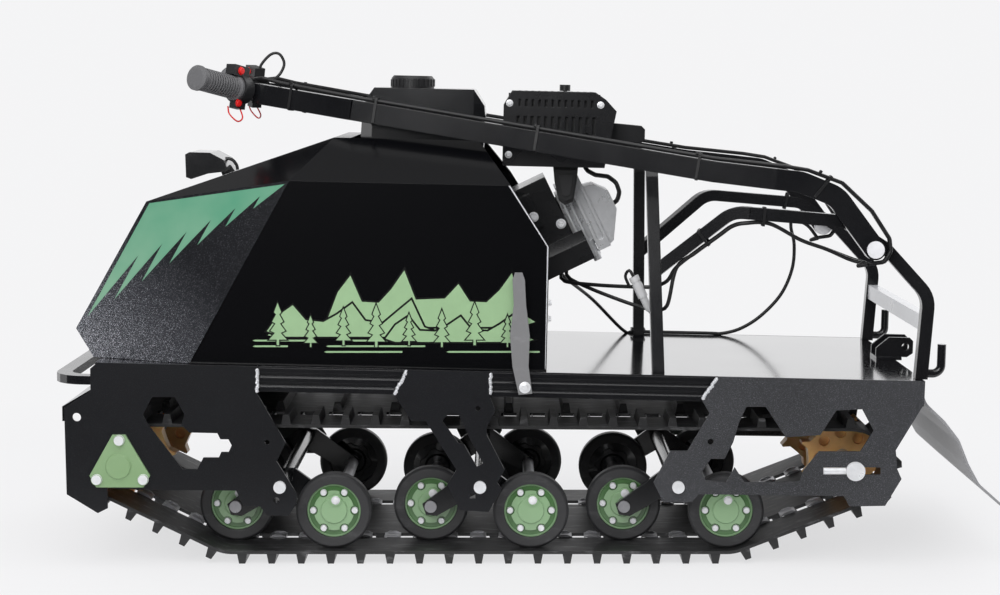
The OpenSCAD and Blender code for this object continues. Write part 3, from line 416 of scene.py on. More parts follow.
def make_finishes(colors, inks):
    """Every finish by name."""
    black = colors.black
    return {
        "black": paint("Black paint", black, 0.22, 0.06, 0.0, 0.4, 0.002, 0.01),
        "side_black": powder_coat("Side plate coat", colors.plate, 0.06, 0.36),
        # The rear plates take the side plates' coat painted lighter and with more pale points: painted light, where
        # more light falls on them.
        "plate_grey": powder_coat("Rear plate coat painted lighter", colors.rear_plate, 0.34, 0.5),
        "deck": deck_finish(black),
        "tube": paint("Tube paint", black, 0.24, 0.1, 0.02, 0.4, 0.0025, 0.01),
        "light_bar": paint("Light bar paint", (0.62, 0.63, 0.66), 0.3),
        "belt": rubber("Track rubber", (0.018, 0.018, 0.019), 0.5, 0.5),
        "tyre": rubber("Tyre rubber", colors.tyre, 0.5, 0.14, 500.0, 0.0025),
        "flap": rubber("Flap rubber", (0.26, 0.26, 0.27), 0.5, 0.3, 160.0),
        "strap": rubber("Strap rubber", (0.17, 0.17, 0.175), 0.55, 0.4, 300.0),
        "grip": rubber("Grip rubber", colors.grip, 0.6, 0.12, 520.0),
        "sprocket": sprocket_finish(colors.sprocket),
        "steel": metal("Steel", (0.46, 0.46, 0.48), 0.34, 0.12, 0.0, 0.0006, 0.8),
        "zinc": metal("Zinc plate", (0.90, 0.91, 0.93), 0.3, 0.0, 0.0, 0.0004, 0.3),
        "cast": metal("Cast aluminium", (0.80, 0.81, 0.83), 0.3, 0.0, 0.06, 0.0015, 0.55),
        "cover_green": paint("Cover green", colors.cover, 0.34, 0.05, 0.0, 0.3),
        "disc_green": disc_finish(colors.disc, black),
        "sheet_black": paint("Engine black", (0.008, 0.0082, 0.0095), 0.28, 0.06, 0.0, 0.4, 0.0015, 0.015),
        "tank_black": paint("Tank black", (0.009, 0.0095, 0.011), 0.22, 0.04, 0.0, 0.8),
        "plastic": plastic("Black plastic", (0.013, 0.0132, 0.0145)),
        "hood": hood_finish(inks.hood),
        "fins": metal("Dark cast fins", (0.10, 0.10, 0.105), 0.45, 0.0, 0.15),
        "cap": plastic("Pale cap", (0.62, 0.62, 0.64), 0.4, 0.05),
        "cable": rubber("Cable sheath", (0.012, 0.012, 0.013), 0.38, 0.05, 600.0, 0.0003),
        # Pale strip colour: a painted highlight along the hood's rear edge.
        "painted_edge_highlight": metal("Painted edge highlight", (0.80, 0.81, 0.84), 0.42, 0.3, 0.0, 0.0003, 0.5),
        "weld": metal("Weld bead", (0.80, 0.81, 0.84), 0.3, 0.0, 0.1, 0.0002, 0.5),
        "print": print_finish("Print green", inks.print_green),
        "shard": shard_finish(inks.shard_dark, inks.shard_pale),
        "outline": paint("Print black", (0.0015, 0.0015, 0.002), 0.3, 0.02, 0.0, 0.0, 0.0003, 0.0),
        "red": plastic("Red plastic", (0.62, 0.008, 0.008), 0.35, 0.05),
        "connector": plastic("Grey connector", (0.48, 0.48, 0.49), 0.45, 0.08),
        "lens": paint("Lamp lens", (0.75, 0.77, 0.80), 0.08, 0.01, 0.0, 1.0),
    }


def deck_finish(black):
    """Smooth glossy sheet with faint long polish marks."""
    f = Finish("Deck gloss", 0.12, Coat_Weight=1.0, Coat_Roughness=0.1, IOR=1.9)
    wave = f.noise(6.0, 3.0)
    f.color(f.blend(f.span(wave, 0.3, 0.7), black, [c * 1.6 + 0.004 for c in black]))
    f.rough(f.span(wave, 0.3, 0.8, 0.11, 0.17))
    f.relief(f.noise(260.0, 2.0), 0.012, 0.0005, 0.0006)
    return f.mat


def sprocket_finish(color):
    """Natural cast plastic, milky at thin places."""
    f = Finish("Sprocket plastic", 0.38, Subsurface_Weight=0.35, Subsurface_Scale=0.012)
    f.shader.inputs["Subsurface Radius"].default_value = (1.0, 0.55, 0.25)
    cloud = f.noise(26.0, 3.0)
    f.color(f.blend(f.span(cloud, 0.3, 0.75), color, (color[0] * 0.72, color[1] * 0.6, color[2] * 0.5)))
    f.rough(f.span(cloud, 0.3, 0.8, 0.3, 0.5))
    f.relief(f.noise(220.0, 3.0), 0.1, 0.0006, 0.0015)
    return f.mat


def disc_finish(color, black):
    """Green enamel outside and black inside, towards the middle of the vehicle; the recess round the hub on the outer
    face is painted darker green as shade.
    """
    f = Finish("Wheel disc enamel, painted recess shade", 0.2, Coat_Weight=0.8, Coat_Roughness=0.06)
    normal = f.add("ShaderNodeNewGeometry").outputs["Normal"]
    side = f.sum("SIGN", f.axis("Y"))
    outward = f.sum("MULTIPLY", f.axis("Y", normal), side)
    cloud = f.noise(30.0, 3.0)
    # Painted shade: faces less than about 5 mm out from the disc's plane, the recess round the hub, get a darker
    # green.
    level = f.sum("MODULO", f.sum("SUBTRACT", f.sum("ABSOLUTE", f.axis("Y")), INNER_WHEEL_Y),
                  OUTER_WHEEL_Y - INNER_WHEEL_Y)
    deep = f.blend(f.span(cloud, 0.3, 0.7), [c * c * 1.1 for c in color], [c * c * 0.7 for c in color])
    green = f.blend(f.span(level, 0.0042, 0.0066), deep, tuple(color))
    f.color(f.blend(f.span(outward, -0.55, -0.45), black, green))
    f.rough(f.span(cloud, 0.3, 0.8, 0.16, 0.28))
    f.relief(f.noise(300.0, 2.0), 0.04, 0.0005, 0.0008)
    return f.mat


def hood_finish(color):
    """Deep gloss; the flat nose sides are dark with a glitter that grows down to the chin."""
    f = Finish("Hood gloss", 0.2, Coat_Weight=0.12, Coat_Roughness=0.1)
    f.shader.inputs["Specular IOR Level"].default_value = 0.3
    facing = f.sum("ABSOLUTE", f.axis("Y", f.add("ShaderNodeNewGeometry").outputs["Normal"]))
    on_nose = f.sum("COMPARE", facing, 0.942, 0.03)
    depth = f.sum("MULTIPLY_ADD", f.axis("Z"), -1.15, f.axis("X"))
    grow = f.span(depth, -0.02, 0.34)
    grain = f.sum("MULTIPLY_ADD", grow, 0.10, f.noise(900.0, 1.5, 0.6))
    fleck = f.sum("MULTIPLY", f.span(grain, 0.62, 0.72), f.span(grow, 0.0, 1.0, 0.25, 0.9))
    navy = f.blend(grow, (0.002, 0.0024, 0.005), (0.030, 0.032, 0.040))
    glitter = f.blend(fleck, navy, (0.60, 0.61, 0.66))
    f.color(f.blend(on_nose, tuple(color), glitter))
    f.rough(f.span(on_nose, 0, 1, 0.2, 0.45))
    f.relief(f.noise(420.0, 2.0), 0.02, 0.0005, 0.0008)
    return f.mat


def print_finish(name, color):
    """Flat screen-printed ink with slightly uneven cover."""
    f = Finish(name, 0.45)
    f.color(f.blend(f.span(f.noise(40.0, 3.0), 0.3, 0.8), tuple(color), [c * 0.92 for c in color]))
    f.relief(f.noise(700.0, 2.0), 0.04, 0.0003)
    return f.mat


def shard_finish(dark, pale):
    """Print that runs from deep green at its upper edge to pale green, with soft clouds."""
    f = Finish("Shard print", 0.4)
    height = f.sum("MULTIPLY_ADD", f.axis("X"), 0.30, f.axis("Z"))
    cloud = f.span(f.noise(9.0, 3.0), 0.3, 0.7, -0.05, 0.05)
    f.color(f.blend(f.span(f.sum("ADD", height, cloud), 0.66, 0.80), tuple(pale), tuple(dark)))
    f.relief(f.noise(700.0, 2.0), 0.04, 0.0003)
    return f.mat


CAD_FINISHES = {
    "black": ("bumper", "front_guard", "frame_rails", "cross_members", "bogie_arms", "pivot_tubes",
              "tow_bracket", "tie_hooks", "handle_arms", "handlebar"),
    "side_black": ("front_plates", "middle_plates"),
    # The rear plates get the coat painted lighter, for the light that falls on them.
    "plate_grey": ("rear_plates",),
    "deck": ("deck_sheet",),
    "tube": ("hoop", "side_rail_left", "side_rail_right"),
    "light_bar": ("rear_bar",),
    "belt": ("track",),
    "tyre": ("wheel_tyres",),
    "flap": ("mud_flap",),
    "strap": ("latch_straps",),
    "grip": ("grips",),
    "sprocket": ("drive_sprockets", "idler_sprockets"),
    "steel": ("drive_shaft", "wheel_axles"),
    "zinc": ("idler_shaft", "tensioners", "pivot_bolts"),
    "cap": ("pivot_pins",),
    "cast": ("cylinder_head",),
    "fins": ("crankcase", "cylinder_barrel"),
    "cable": ("breather_hose", "handle_cables", "rail_cables"),
    "cover_green": ("bearing_covers",),
    "disc_green": ("wheel_discs",),
    "sheet_black": ("engine_shroud", "muffler", "muffler_guard", "recoil_starter"),
    "tank_black": ("fuel_tank", "headlight"),
    "plastic": ("fuel_cap", "air_cleaner", "hand_controls"),
    "hood": ("hood",),
}
SLOTS = {s["node"]: s["material_slot"] for s in frame["record"]["subparts"]}
PIECE_SLOTS = {finish: SLOTS[nodes[0]] for finish, nodes in CAD_FINISHES.items()}
PIECE_SLOTS.update({"painted_edge_highlight": SLOTS["drive_shaft"], "weld": SLOTS["drive_shaft"], "print": SLOTS["hood"],
                    "shard": SLOTS["hood"], "outline": SLOTS["hood"], "red": SLOTS["fuel_cap"],
                    "connector": SLOTS["fuel_cap"], "lens": SLOTS["headlight"]})
FINISH = {}


# ---- Pieces ----
def new_object(name, data):
    """Object with this data, in the scene."""
    obj = bpy.data.objects.new(name, data)
    bpy.context.scene.collection.objects.link(obj)
    return obj


def dress(obj, mat):
    """The object's only material is mat."""
    obj.data.materials.clear()
    obj.data.materials.append(mat)


def keep(name, mesh, finish, body, smooth=True):
    """Makes a finished mesh a piece that rides on a body and takes its slot from a finish name."""
    obj = new_object(name, mesh)
    dress(obj, FINISH[finish])
    for face in mesh.polygons:
        face.use_smooth = smooth
    if smooth:
        mesh.set_sharp_from_angle(angle=math.radians(38))
    if body:
        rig.ride(obj, body)
    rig.slot(obj, PIECE_SLOTS[finish])
    return obj


def mesh_of(name, build):
    """Mesh filled by a function that works on a bmesh, normals outwards."""
    bm = bmesh.new()
    build(bm)
    bmesh.ops.remove_doubles(bm, verts=bm.verts, dist=1e-6)
    bmesh.ops.recalc_face_normals(bm, faces=bm.faces)
    mesh = bpy.data.meshes.new(name)
    bm.to_mesh(mesh)
    bm.free()
    return mesh


def prism(bm, outline, lift):
    """Extrudes a closed outline of points by the vector lift."""
    low = [bm.verts.new(p) for p in outline]
    high = [bm.verts.new(v.co + lift) for v in low]
    bm.faces.new(low)
    bm.faces.new(list(reversed(high)))
    for k in range(len(low)):
        n = (k + 1) % len(low)
        bm.faces.new((low[k], high[k], high[n], low[n]))


def lathe(bm, profile, place, steps=24):
    """Closed solid of revolution about local Z from [radius, height] points; place maps to the model."""
    rings = []
    for r, h in profile:
        if r < 1e-7:
            rings.append([bm.verts.new(place(Vector((0, 0, h))))])
        else:
            rings.append([bm.verts.new(place(Vector((r * math.cos(a), r * math.sin(a), h))))
                          for a in (2 * math.pi * k / steps for k in range(steps))])
    for a, b in zip(rings, rings[1:]):
        for k in range(steps):
            n = (k + 1) % steps
            loop = [a[k % len(a)], a[n % len(a)], b[n % len(b)], b[k % len(b)]]
            loop = [v for i, v in enumerate(loop) if v not in loop[:i]]
            if len(loop) > 2:
                bm.faces.new(loop)


def frame_at(point, axis, along=None):
    """Matrix whose Z lies along axis and whose X leans towards along."""
    z = Vector(axis).normalized()
    x = Vector(along) if along else (Vector((1, 0, 0)) if abs(z.x) < 0.9 else Vector((0, 0, 1)))
    x = (x - z * x.dot(z)).normalized()
    y = z.cross(x)
    m = Matrix((x, y, z)).transposed().to_4x4()
    m.translation = Vector(point)
    return m


# ---- Geometry Nodes ----
def node_tree(name, inputs):
    """Empty geometry tree with the given named inputs: {name: (socket type, default)}."""
    tree = bpy.data.node_groups.new(name, "GeometryNodeTree")
    tree.interface.new_socket("Geometry", in_out="OUTPUT", socket_type="NodeSocketGeometry")
    tree.interface.new_socket("Geometry", in_out="INPUT", socket_type="NodeSocketGeometry")
    for key, (kind, default) in inputs.items():
        socket = tree.interface.new_socket(key, in_out="INPUT", socket_type=kind)
        if default is not None:
            socket.default_value = default
    return tree, tree.nodes.new("NodeGroupInput"), tree.nodes.new("NodeGroupOutput")


def link(tree, *pairs):
    for out, into in pairs:
        tree.links.new(out, into)


def run_tree(tree, source, **values):
    """Evaluates the tree on a mesh object and returns the plain mesh; the object is removed."""
    modifier = source.modifiers.new("Tree", "NODES")
    modifier.node_group = tree
    for item in tree.interface.items_tree:
        if item.in_out == "INPUT" and item.name.replace(" ", "_").lower() in values:
            modifier[item.identifier] = values[item.name.replace(" ", "_").lower()]
    bpy.context.view_layer.update()
    shown = source.evaluated_get(bpy.context.evaluated_depsgraph_get())
    mesh = bpy.data.meshes.new_from_object(shown)
    source.modifiers.remove(modifier)
    bpy.data.objects.remove(source)
    return mesh


def placed_tree():
    """Instances a part on points, turned by the point attributes axis and along."""
    tree, get, put = node_tree("Placed parts", {
        "Part": ("NodeSocketObject", None), "Size": ("NodeSocketFloat", 1.0),
        "Finish": ("NodeSocketMaterial", None)})
    info = tree.nodes.new("GeometryNodeObjectInfo")
    instance = tree.nodes.new("GeometryNodeInstanceOnPoints")
    turns = []
    for name, axis in (("axis", "Z"), ("along", "X")):
        vector = tree.nodes.new("GeometryNodeInputNamedAttribute")
        vector.data_type = "FLOAT_VECTOR"
        vector.inputs["Name"].default_value = name
        align = tree.nodes.new("FunctionNodeAlignRotationToVector")
        align.axis = axis
        align.pivot_axis = "AUTO" if axis == "Z" else "Z"
        link(tree, (vector.outputs["Attribute"], align.inputs["Vector"]))
        turns.append(align)
    real = tree.nodes.new("GeometryNodeRealizeInstances")
    finish = tree.nodes.new("GeometryNodeSetMaterial")
    link(tree,
         (get.outputs["Part"], info.inputs["Object"]),
         (turns[0].outputs[0], turns[1].inputs["Rotation"]),
         (turns[1].outputs[0], instance.inputs["Rotation"]),
         (get.outputs["Geometry"], instance.inputs["Points"]),
         (info.outputs["Geometry"], instance.inputs["Instance"]),
         (get.outputs["Size"], instance.inputs["Scale"]),
         (instance.outputs["Instances"], real.inputs["Geometry"]),
         (real.outputs["Geometry"], finish.inputs["Geometry"]),
         (get.outputs["Finish"], finish.inputs["Material"]),
         (finish.outputs["Geometry"], put.inputs["Geometry"]))
    return tree


def cable_tree():
    """Sweeps a round section along the edges of a path."""
    tree, get, put = node_tree("Cable", {
        "Radius": ("NodeSocketFloat", 0.003), "Sides": ("NodeSocketInt", 10),
        "Finish": ("NodeSocketMaterial", None)})
    curve = tree.nodes.new("GeometryNodeMeshToCurve")
    circle = tree.nodes.new("GeometryNodeCurvePrimitiveCircle")
    sweep = tree.nodes.new("GeometryNodeCurveToMesh")
    sweep.inputs["Fill Caps"].default_value = True
    smooth = tree.nodes.new("GeometryNodeSetShadeSmooth")
    real = tree.nodes.new("GeometryNodeRealizeInstances")
    finish = tree.nodes.new("GeometryNodeSetMaterial")
    link(tree,
         (get.outputs["Geometry"], curve.inputs["Mesh"]),
         (get.outputs["Radius"], circle.inputs["Radius"]),
         (get.outputs["Sides"], circle.inputs["Resolution"]),
         (curve.outputs["Curve"], sweep.inputs["Curve"]),
         (circle.outputs["Curve"], sweep.inputs["Profile Curve"]),
         (sweep.outputs["Mesh"], smooth.inputs["Geometry"]),
         (smooth.outputs["Geometry"], real.inputs["Geometry"]),
         (real.outputs["Geometry"], finish.inputs["Geometry"]),
         (get.outputs["Finish"], finish.inputs["Material"]),
         (finish.outputs["Geometry"], put.inputs["Geometry"]))
    return tree


TREES = {}


def tree_named(name, build):
    """The tree, built when it is first asked for."""
    if name not in TREES:
        TREES[name] = build()
    return TREES[name]


def place_parts(name, part, spots, finish, body, size=1.0):
    """Puts a copy of the part mesh at each spot (point, axis, along) as one joined piece."""
    holder = new_object("part", part)
    mesh = bpy.data.meshes.new("spots")
    mesh.from_pydata([s[0] for s in spots], [], [])
    for key, index in (("axis", 1), ("along", 2)):
        layer = mesh.attributes.new(key, "FLOAT_VECTOR", "POINT")
        for k, spot in enumerate(spots):
            layer.data[k].vector = spot[index]
    joined = run_tree(tree_named("placed", placed_tree), new_object("spots", mesh), part=holder, size=size,
                      finish=FINISH[finish])
    bpy.data.objects.remove(holder)
    return keep(name, joined, finish, body)


def smooth_path(points, step=0.006):
    """Points a step apart on a smooth curve through the given points."""
    pts = [Vector(p) for p in points]
    pts = [2 * pts[0] - pts[1]] + pts + [2 * pts[-1] - pts[-2]]
    out = []
    for a, b, c, d in zip(pts, pts[1:], pts[2:], pts[3:]):
        n = max(1, round((c - b).length / step))
        for k in range(n):
            t = k / n
            out.append(0.5 * ((2 * b) + (c - a) * t + (2 * a - 5 * b + 4 * c - d) * t * t
                              + (3 * b - a - 3 * c + d) * t ** 3))
    return out + [pts[-2]]


def cable(name, routes, radius, finish, body, sides=10, step=0.006):
    """One piece of round cables, each along its own route."""
    verts = []
    edges = []
    for route in routes:
        path = smooth_path(route, step)
        edges += [(len(verts) + k, len(verts) + k + 1) for k in range(len(path) - 1)]
        verts += path
    mesh = bpy.data.meshes.new("route")
    mesh.from_pydata(verts, edges, [])
    tube = run_tree(tree_named("cable", cable_tree), new_object("route", mesh), radius=radius,
                    sides=sides, finish=FINISH[finish])
    return keep(name, tube, finish, body)


# ---- Small parts ----
def bolt_part(radius, height, sides=6, washer=0.0, dome=0.3):
    """Bolt head that stands on the plane Z = 0, its rim chamfered, over a washer."""
    def build(bm):
        base = 0.0
        if washer:
            base = height * 0.18
            lathe(bm, [(0, 0), (washer, 0), (washer, base * 0.7), (washer * 0.96, base), (0, base)],
                  Vector, 28)
        cut = height * dome
        lathe(bm, [(0, base), (radius, base), (radius, base + height - cut),
                   (radius * 0.84, base + height), (0, base + height)], Vector, sides)
    return mesh_of("bolt", build)


def ring_part(outer, inner, height, steps=28):
    """Flat ring with chamfered rims."""
    c = min(height, outer - inner) * 0.25
    return mesh_of("ring", lambda bm: lathe(bm, [
        (inner, 0), (outer, 0), (outer, height - c), (outer - c, height), (inner + c, height),
        (inner, height - c), (inner, 0)], Vector, steps))


def lobed_part(outer, inner, wave, height):
    """Ring whose outer edge waves round six bolts."""
    def build(bm):
        steps = 72
        angles = [2 * math.pi * k / steps for k in range(steps)]
        rings = []
        for size, z in ((0, 0), (0, height - 1 * MM), (1 * MM, height)):
            rings.append([bm.verts.new(Vector((math.cos(a), math.sin(a), 0))
                                       * (outer - size + wave * math.tanh(2 * math.cos(6 * a)))
                                       + Vector((0, 0, z))) for a in angles])
        for z in (height, 0):
            rings.append([bm.verts.new((inner * math.cos(a), inner * math.sin(a), z)) for a in angles])
        for a, b in zip(rings, rings[1:] + rings[:1]):
            for k in range(steps):
                bm.faces.new((a[k], a[(k + 1) % steps], b[(k + 1) % steps], b[k]))
    return mesh_of("lobed", build)


def box_part(x, y, z, chamfer):
    """Block that stands on Z = 0 with chamfered upper edges."""
    def build(bm):
        rings = [(0, 0), (z - chamfer, 0), (z, chamfer)]
        loops = [[bm.verts.new((i * (x / 2 - c), j * (y / 2 - c), h))
                  for i, j in ((1, 1), (-1, 1), (-1, -1), (1, -1))] for h, c in rings]
        bm.faces.new(loops[0])
        bm.faces.new(loops[-1])
        for a, b in zip(loops, loops[1:]):
            for k in range(4):
                bm.faces.new((a[k], a[(k + 1) % 4], b[(k + 1) % 4], b[k]))
    return mesh_of("block", build)


def clip_part(bar, lane):
    """Steel saddle folded over a bar of the belt, with an ear at each end."""
    def build(bm):
        t = 1.6 * MM
        half = bar / 2
        low = -4 * MM
        section = [(-half - t, low), (-half, low), (-half, 0.2 * MM), (half, 0.2 * MM), (half, low),
                   (half + t, low), (half + t, t), (-half - t, t)]
        prism(bm, [(x, -lane / 2, z) for x, z in section], Vector((0, lane, 0)))
        for y in (-lane / 2, lane / 2 - t):
            prism(bm, [(-half, y, t), (half, y, t), (half * 0.5, y, 4.5 * MM), (-half * 0.5, y, 4.5 * MM)],
                  Vector((0, t, 0)))
    return mesh_of("clip", build)


def band_part(half_w, low, high, width, thick=1.2 * MM):
    """Closed strap round a section: it lies in the local XY plane and has its width along Z."""
    def build(bm):
        def loop(out, z):
            c = 2.5 * MM + out
            x = half_w + out
            lo, hi = low - out, high + out
            return [bm.verts.new(p + (z,)) for p in (
                (x, lo + c), (x, hi - c), (x - c, hi), (c - x, hi), (-x, hi - c), (-x, lo + c), (c - x, lo),
                (x - c, lo))]
        rings = [loop(out, z * width / 2) for out, z in ((0.0, -1), (0.0, 1), (thick, 1), (thick, -1))]
        for a, b in zip(rings, rings[1:] + rings[:1]):
            for k in range(8):
                bm.faces.new((a[k], a[(k + 1) % 8], b[(k + 1) % 8], b[k]))
    return mesh_of("band", build)


def belt_loop(out):
    """Points and outward directions of the belt's run, as [point, outward] from its first tangent."""
    wheel_r = (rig.box("wheel_tyres")[1].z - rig.box("wheel_tyres")[0].z) / 2 + 0.0002
    sprocket = 0.060
    circles = [(DRIVE.x, DRIVE.z, sprocket), (IDLER.x, IDLER.z, sprocket),
               (BOGIES[2] - BOGIE_HALF, WHEEL_Z, wheel_r), (BOGIES[0] + BOGIE_HALF, WHEEL_Z, wheel_r)]
    turns = []
    for a, b in zip(circles, circles[1:] + circles[:1]):
        span = Vector((b[0] - a[0], b[1] - a[1]))
        k = (a[2] - b[2]) / span.length
        e = span.normalized()
        n = k * e + math.sqrt(1 - k * k) * Vector((e.y, -e.x))
        turns.append(math.atan2(n.y, n.x))
    path = []
    for k, (x, z, r) in enumerate(circles):
        start = turns[k - 1]
        sweep = (turns[k] - start) % (2 * math.pi)
        for j in range(33):
            a = start + sweep * j / 32
            way = Vector((math.cos(a), 0, math.sin(a)))
            path.append((Vector((x, 0, z)) + way * (r + out), way))
    return path


def along_belt(count, out, shift=0.0):
    """Evenly spaced [point, outward, forward] round the belt."""
    path = belt_loop(out)
    path.append(path[0])
    total = sum((b[0] - a[0]).length for a, b in zip(path, path[1:]))
    spots = []
    done = 0.0
    for a, b in zip(path, path[1:]):
        step = (b[0] - a[0]).length
        while len(spots) < count and (len(spots) + shift) * total / count < done + step:
            t = ((len(spots) + shift) * total / count - done) / step
            way = a[1].lerp(b[1], t).normalized()
            spots.append((a[0].lerp(b[0], t), way, Vector((0, 1, 0)).cross(way)))
        done += step
    return spots


# ---- Groups of pieces ----
def fasteners():
    """Bolts of wheels, bearing covers, straps, duct and muffler guard, and the wheels' hubs."""
    bolts = []
    plugs = []
    backs = []
    for x, y, side in WHEELS:
        for k in range(6):
            a = math.radians(60 * k)
            place = Vector((x + WHEEL_BOLT_RING * math.cos(a), side * (y + 0.004),
                            WHEEL_Z + WHEEL_BOLT_RING * math.sin(a)))
            bolts.append((place, (0, side, 0), (math.cos(a + 0.3 * k), 0, math.sin(a + 0.3 * k))))
        plugs.append(((x - 0.0031, side * (y + 0.0112), WHEEL_Z + 0.0177), (0, side, 0), (1, 0, 0)))
        backs.append(((x, side * (y - 0.0028), WHEEL_Z), (0, -side, 0), (1, 0, 0.2)))
    place_parts("wheel_bolts", bolt_part(5.6 * MM, 4.6 * MM, 16, 0, 0.45), bolts, "zinc", "chassis")
    place_parts("hub_plugs", bolt_part(5.8 * MM, 2.0 * MM, 24, 7.2 * MM, 0.3), plugs, "cap", "chassis")
    place_parts("hub_backs", lobed_part(31 * MM, 23 * MM, 2.6 * MM, 3.4 * MM), backs, "black", "chassis")
    spots = []
    for side in (1, -1):
        for dx, dz in ((-2, 43), (35, -21), (-40, -21)):
            spots.append(((DRIVE.x + dx * MM, side * (PLATE_FACE + 0.004), DRIVE.z + dz * MM), (0, side, 0),
                          (1, 0, 0.4)))
    place_parts("cover_bolts", bolt_part(9.0 * MM, 5.6 * MM, 24, 0, 0.35), spots, "zinc", "chassis")
    studs = [(deck(0.006, side * (PLATE_FACE + 0.0043), 0), (0, side, 0), (1, 0, 0)) for side in (1, -1)]
    studs = [((0.006, p.y, 0.296), a, b) for p, a, b in studs]
    place_parts("strap_studs", bolt_part(4.6 * MM, 2.4 * MM, 16, 9.4 * MM, 0.3), studs, "zinc", "chassis")
    heads = [(engine(0.150, 0.091, 0.041), (0, 1, 0), (1, 0, 0)),
             (engine(0.187, 0.084, 0.010), (0, 1, 0), (1, 0, 0))]
    place_parts("duct_bolts", bolt_part(6.2 * MM, 7 * MM, 20, 8.6 * MM, 0.25), heads, "zinc", "chassis")
    guard = [(deck(u, 0.132, w), (0, 1, 0), (1, 0, 0))
             for u, w in ((-0.112, 0.431), (0.040, 0.431), (-0.112, 0.345), (0.040, 0.345))]
    place_parts("guard_screws", bolt_part(4.0 * MM, 2.4 * MM, 6, 6.0 * MM), guard, "zinc", "chassis")


def belt_clips():
    """One saddle over each bar between two windows, in both lanes."""
    lane = 0.134
    spots = []
    for point, out, way in along_belt(58, 0.0):
        for side in (1, -1):
            spots.append((point + Vector((0, side * lane, 0)), -out, way))
    place_parts("belt_clips", clip_part(24 * MM, 31 * MM), spots, "steel", "chassis")


def welds():
    """Bead along each upright edge of a side plate, on the frame rail."""
    ends = (((0.4385, 0.325), (0.4385, 0.288)), ((0.1960, 0.322), (0.2165, 0.284)),
            ((0.0615, 0.318), (0.0615, 0.284)), ((-0.3050, 0.310), (-0.2810, 0.276)))
    rng = random.Random(7)
    spots = []
    for (x0, z0), (x1, z1) in ends:
        way = Vector((x1 - x0, 0, z1 - z0))
        count = round(way.length / 0.0034)
        for side in (1, -1):
            for k in range(count):
                t = (k + 0.5) / count
                place = Vector((x0 + way.x * t + rng.uniform(-9, 9) * 1e-4,
                                side * (PLATE_FACE - rng.uniform(12, 28) * 1e-4), z0 + way.z * t))
                spots.append((place, (0, side, 0), way + Vector((rng.uniform(-4, 4) * MM, 0, 0))))

    def build(bm):
        lathe(bm, [(0, 0), (3.4 * MM, 0), (3.2 * MM, 1.0 * MM), (2.3 * MM, 2.1 * MM), (1.2 * MM, 2.8 * MM),
                   (0, 3.0 * MM)], Vector, 9)
    place_parts("weld_beads", mesh_of("bead", build), spots, "weld", "chassis")


def ties():
    """Plastic ties that hold the cables to the arms and the rails."""
    spots = []
    for u in (0.404, 0.262, -0.005, -0.266):
        way = (arm_centre(u + 0.01) - arm_centre(u - 0.01)).normalized()
        for flip in BOTH_SIDES:
            spots.append((flip(arm_centre(u)), flip(way), flip(Vector((0, 1, 0)))))
    curve = deck(-0.462, 0.272, 0.307)
    for flip in BOTH_SIDES:
        spots.append((flip(curve), flip(deck_way(0.78, 0, 0.62)), flip(Vector((0, 1, 0)))))
    place_parts("arm_ties", band_part(9.6 * MM, -17.6 * MM, 25.4 * MM, 4.4 * MM), spots, "cable", "handle")
    tails = [(s[0] + deck_way(0, 0, 0.026) + Vector((0, 0.006 if s[0].y > 0 else -0.006, 0)), s[1], s[2])
             for s in spots]
    place_parts("arm_tie_heads", box_part(5.5 * MM, 4.5 * MM, 5 * MM, 1 * MM), tails, "cable", "handle")
    rails = [(deck(-0.375, 0.248, 0.2625), deck_way(1, 0, 0.06), (0, 1, 0)),
             (deck(-0.279, 0.2255, 0.2240), deck_way(0.76, -0.23, -0.62), (0, 1, 0)),
             (deck(-0.478, -0.248, 0.2530), deck_way(1, 0, 0.2), (0, -1, 0))]
    place_parts("rail_ties", band_part(10.6 * MM, -18.4 * MM, 10.6 * MM, 4.4 * MM), rails, "cable",
                "chassis")
    foot = [(deck(-0.2105, -0.2535, 0.009), (0, 0, 1), (1, 0, 0))]
    place_parts("foot_tie", band_part(12 * MM, -16 * MM, 17.5 * MM, 4.4 * MM), foot, "cable", "chassis")


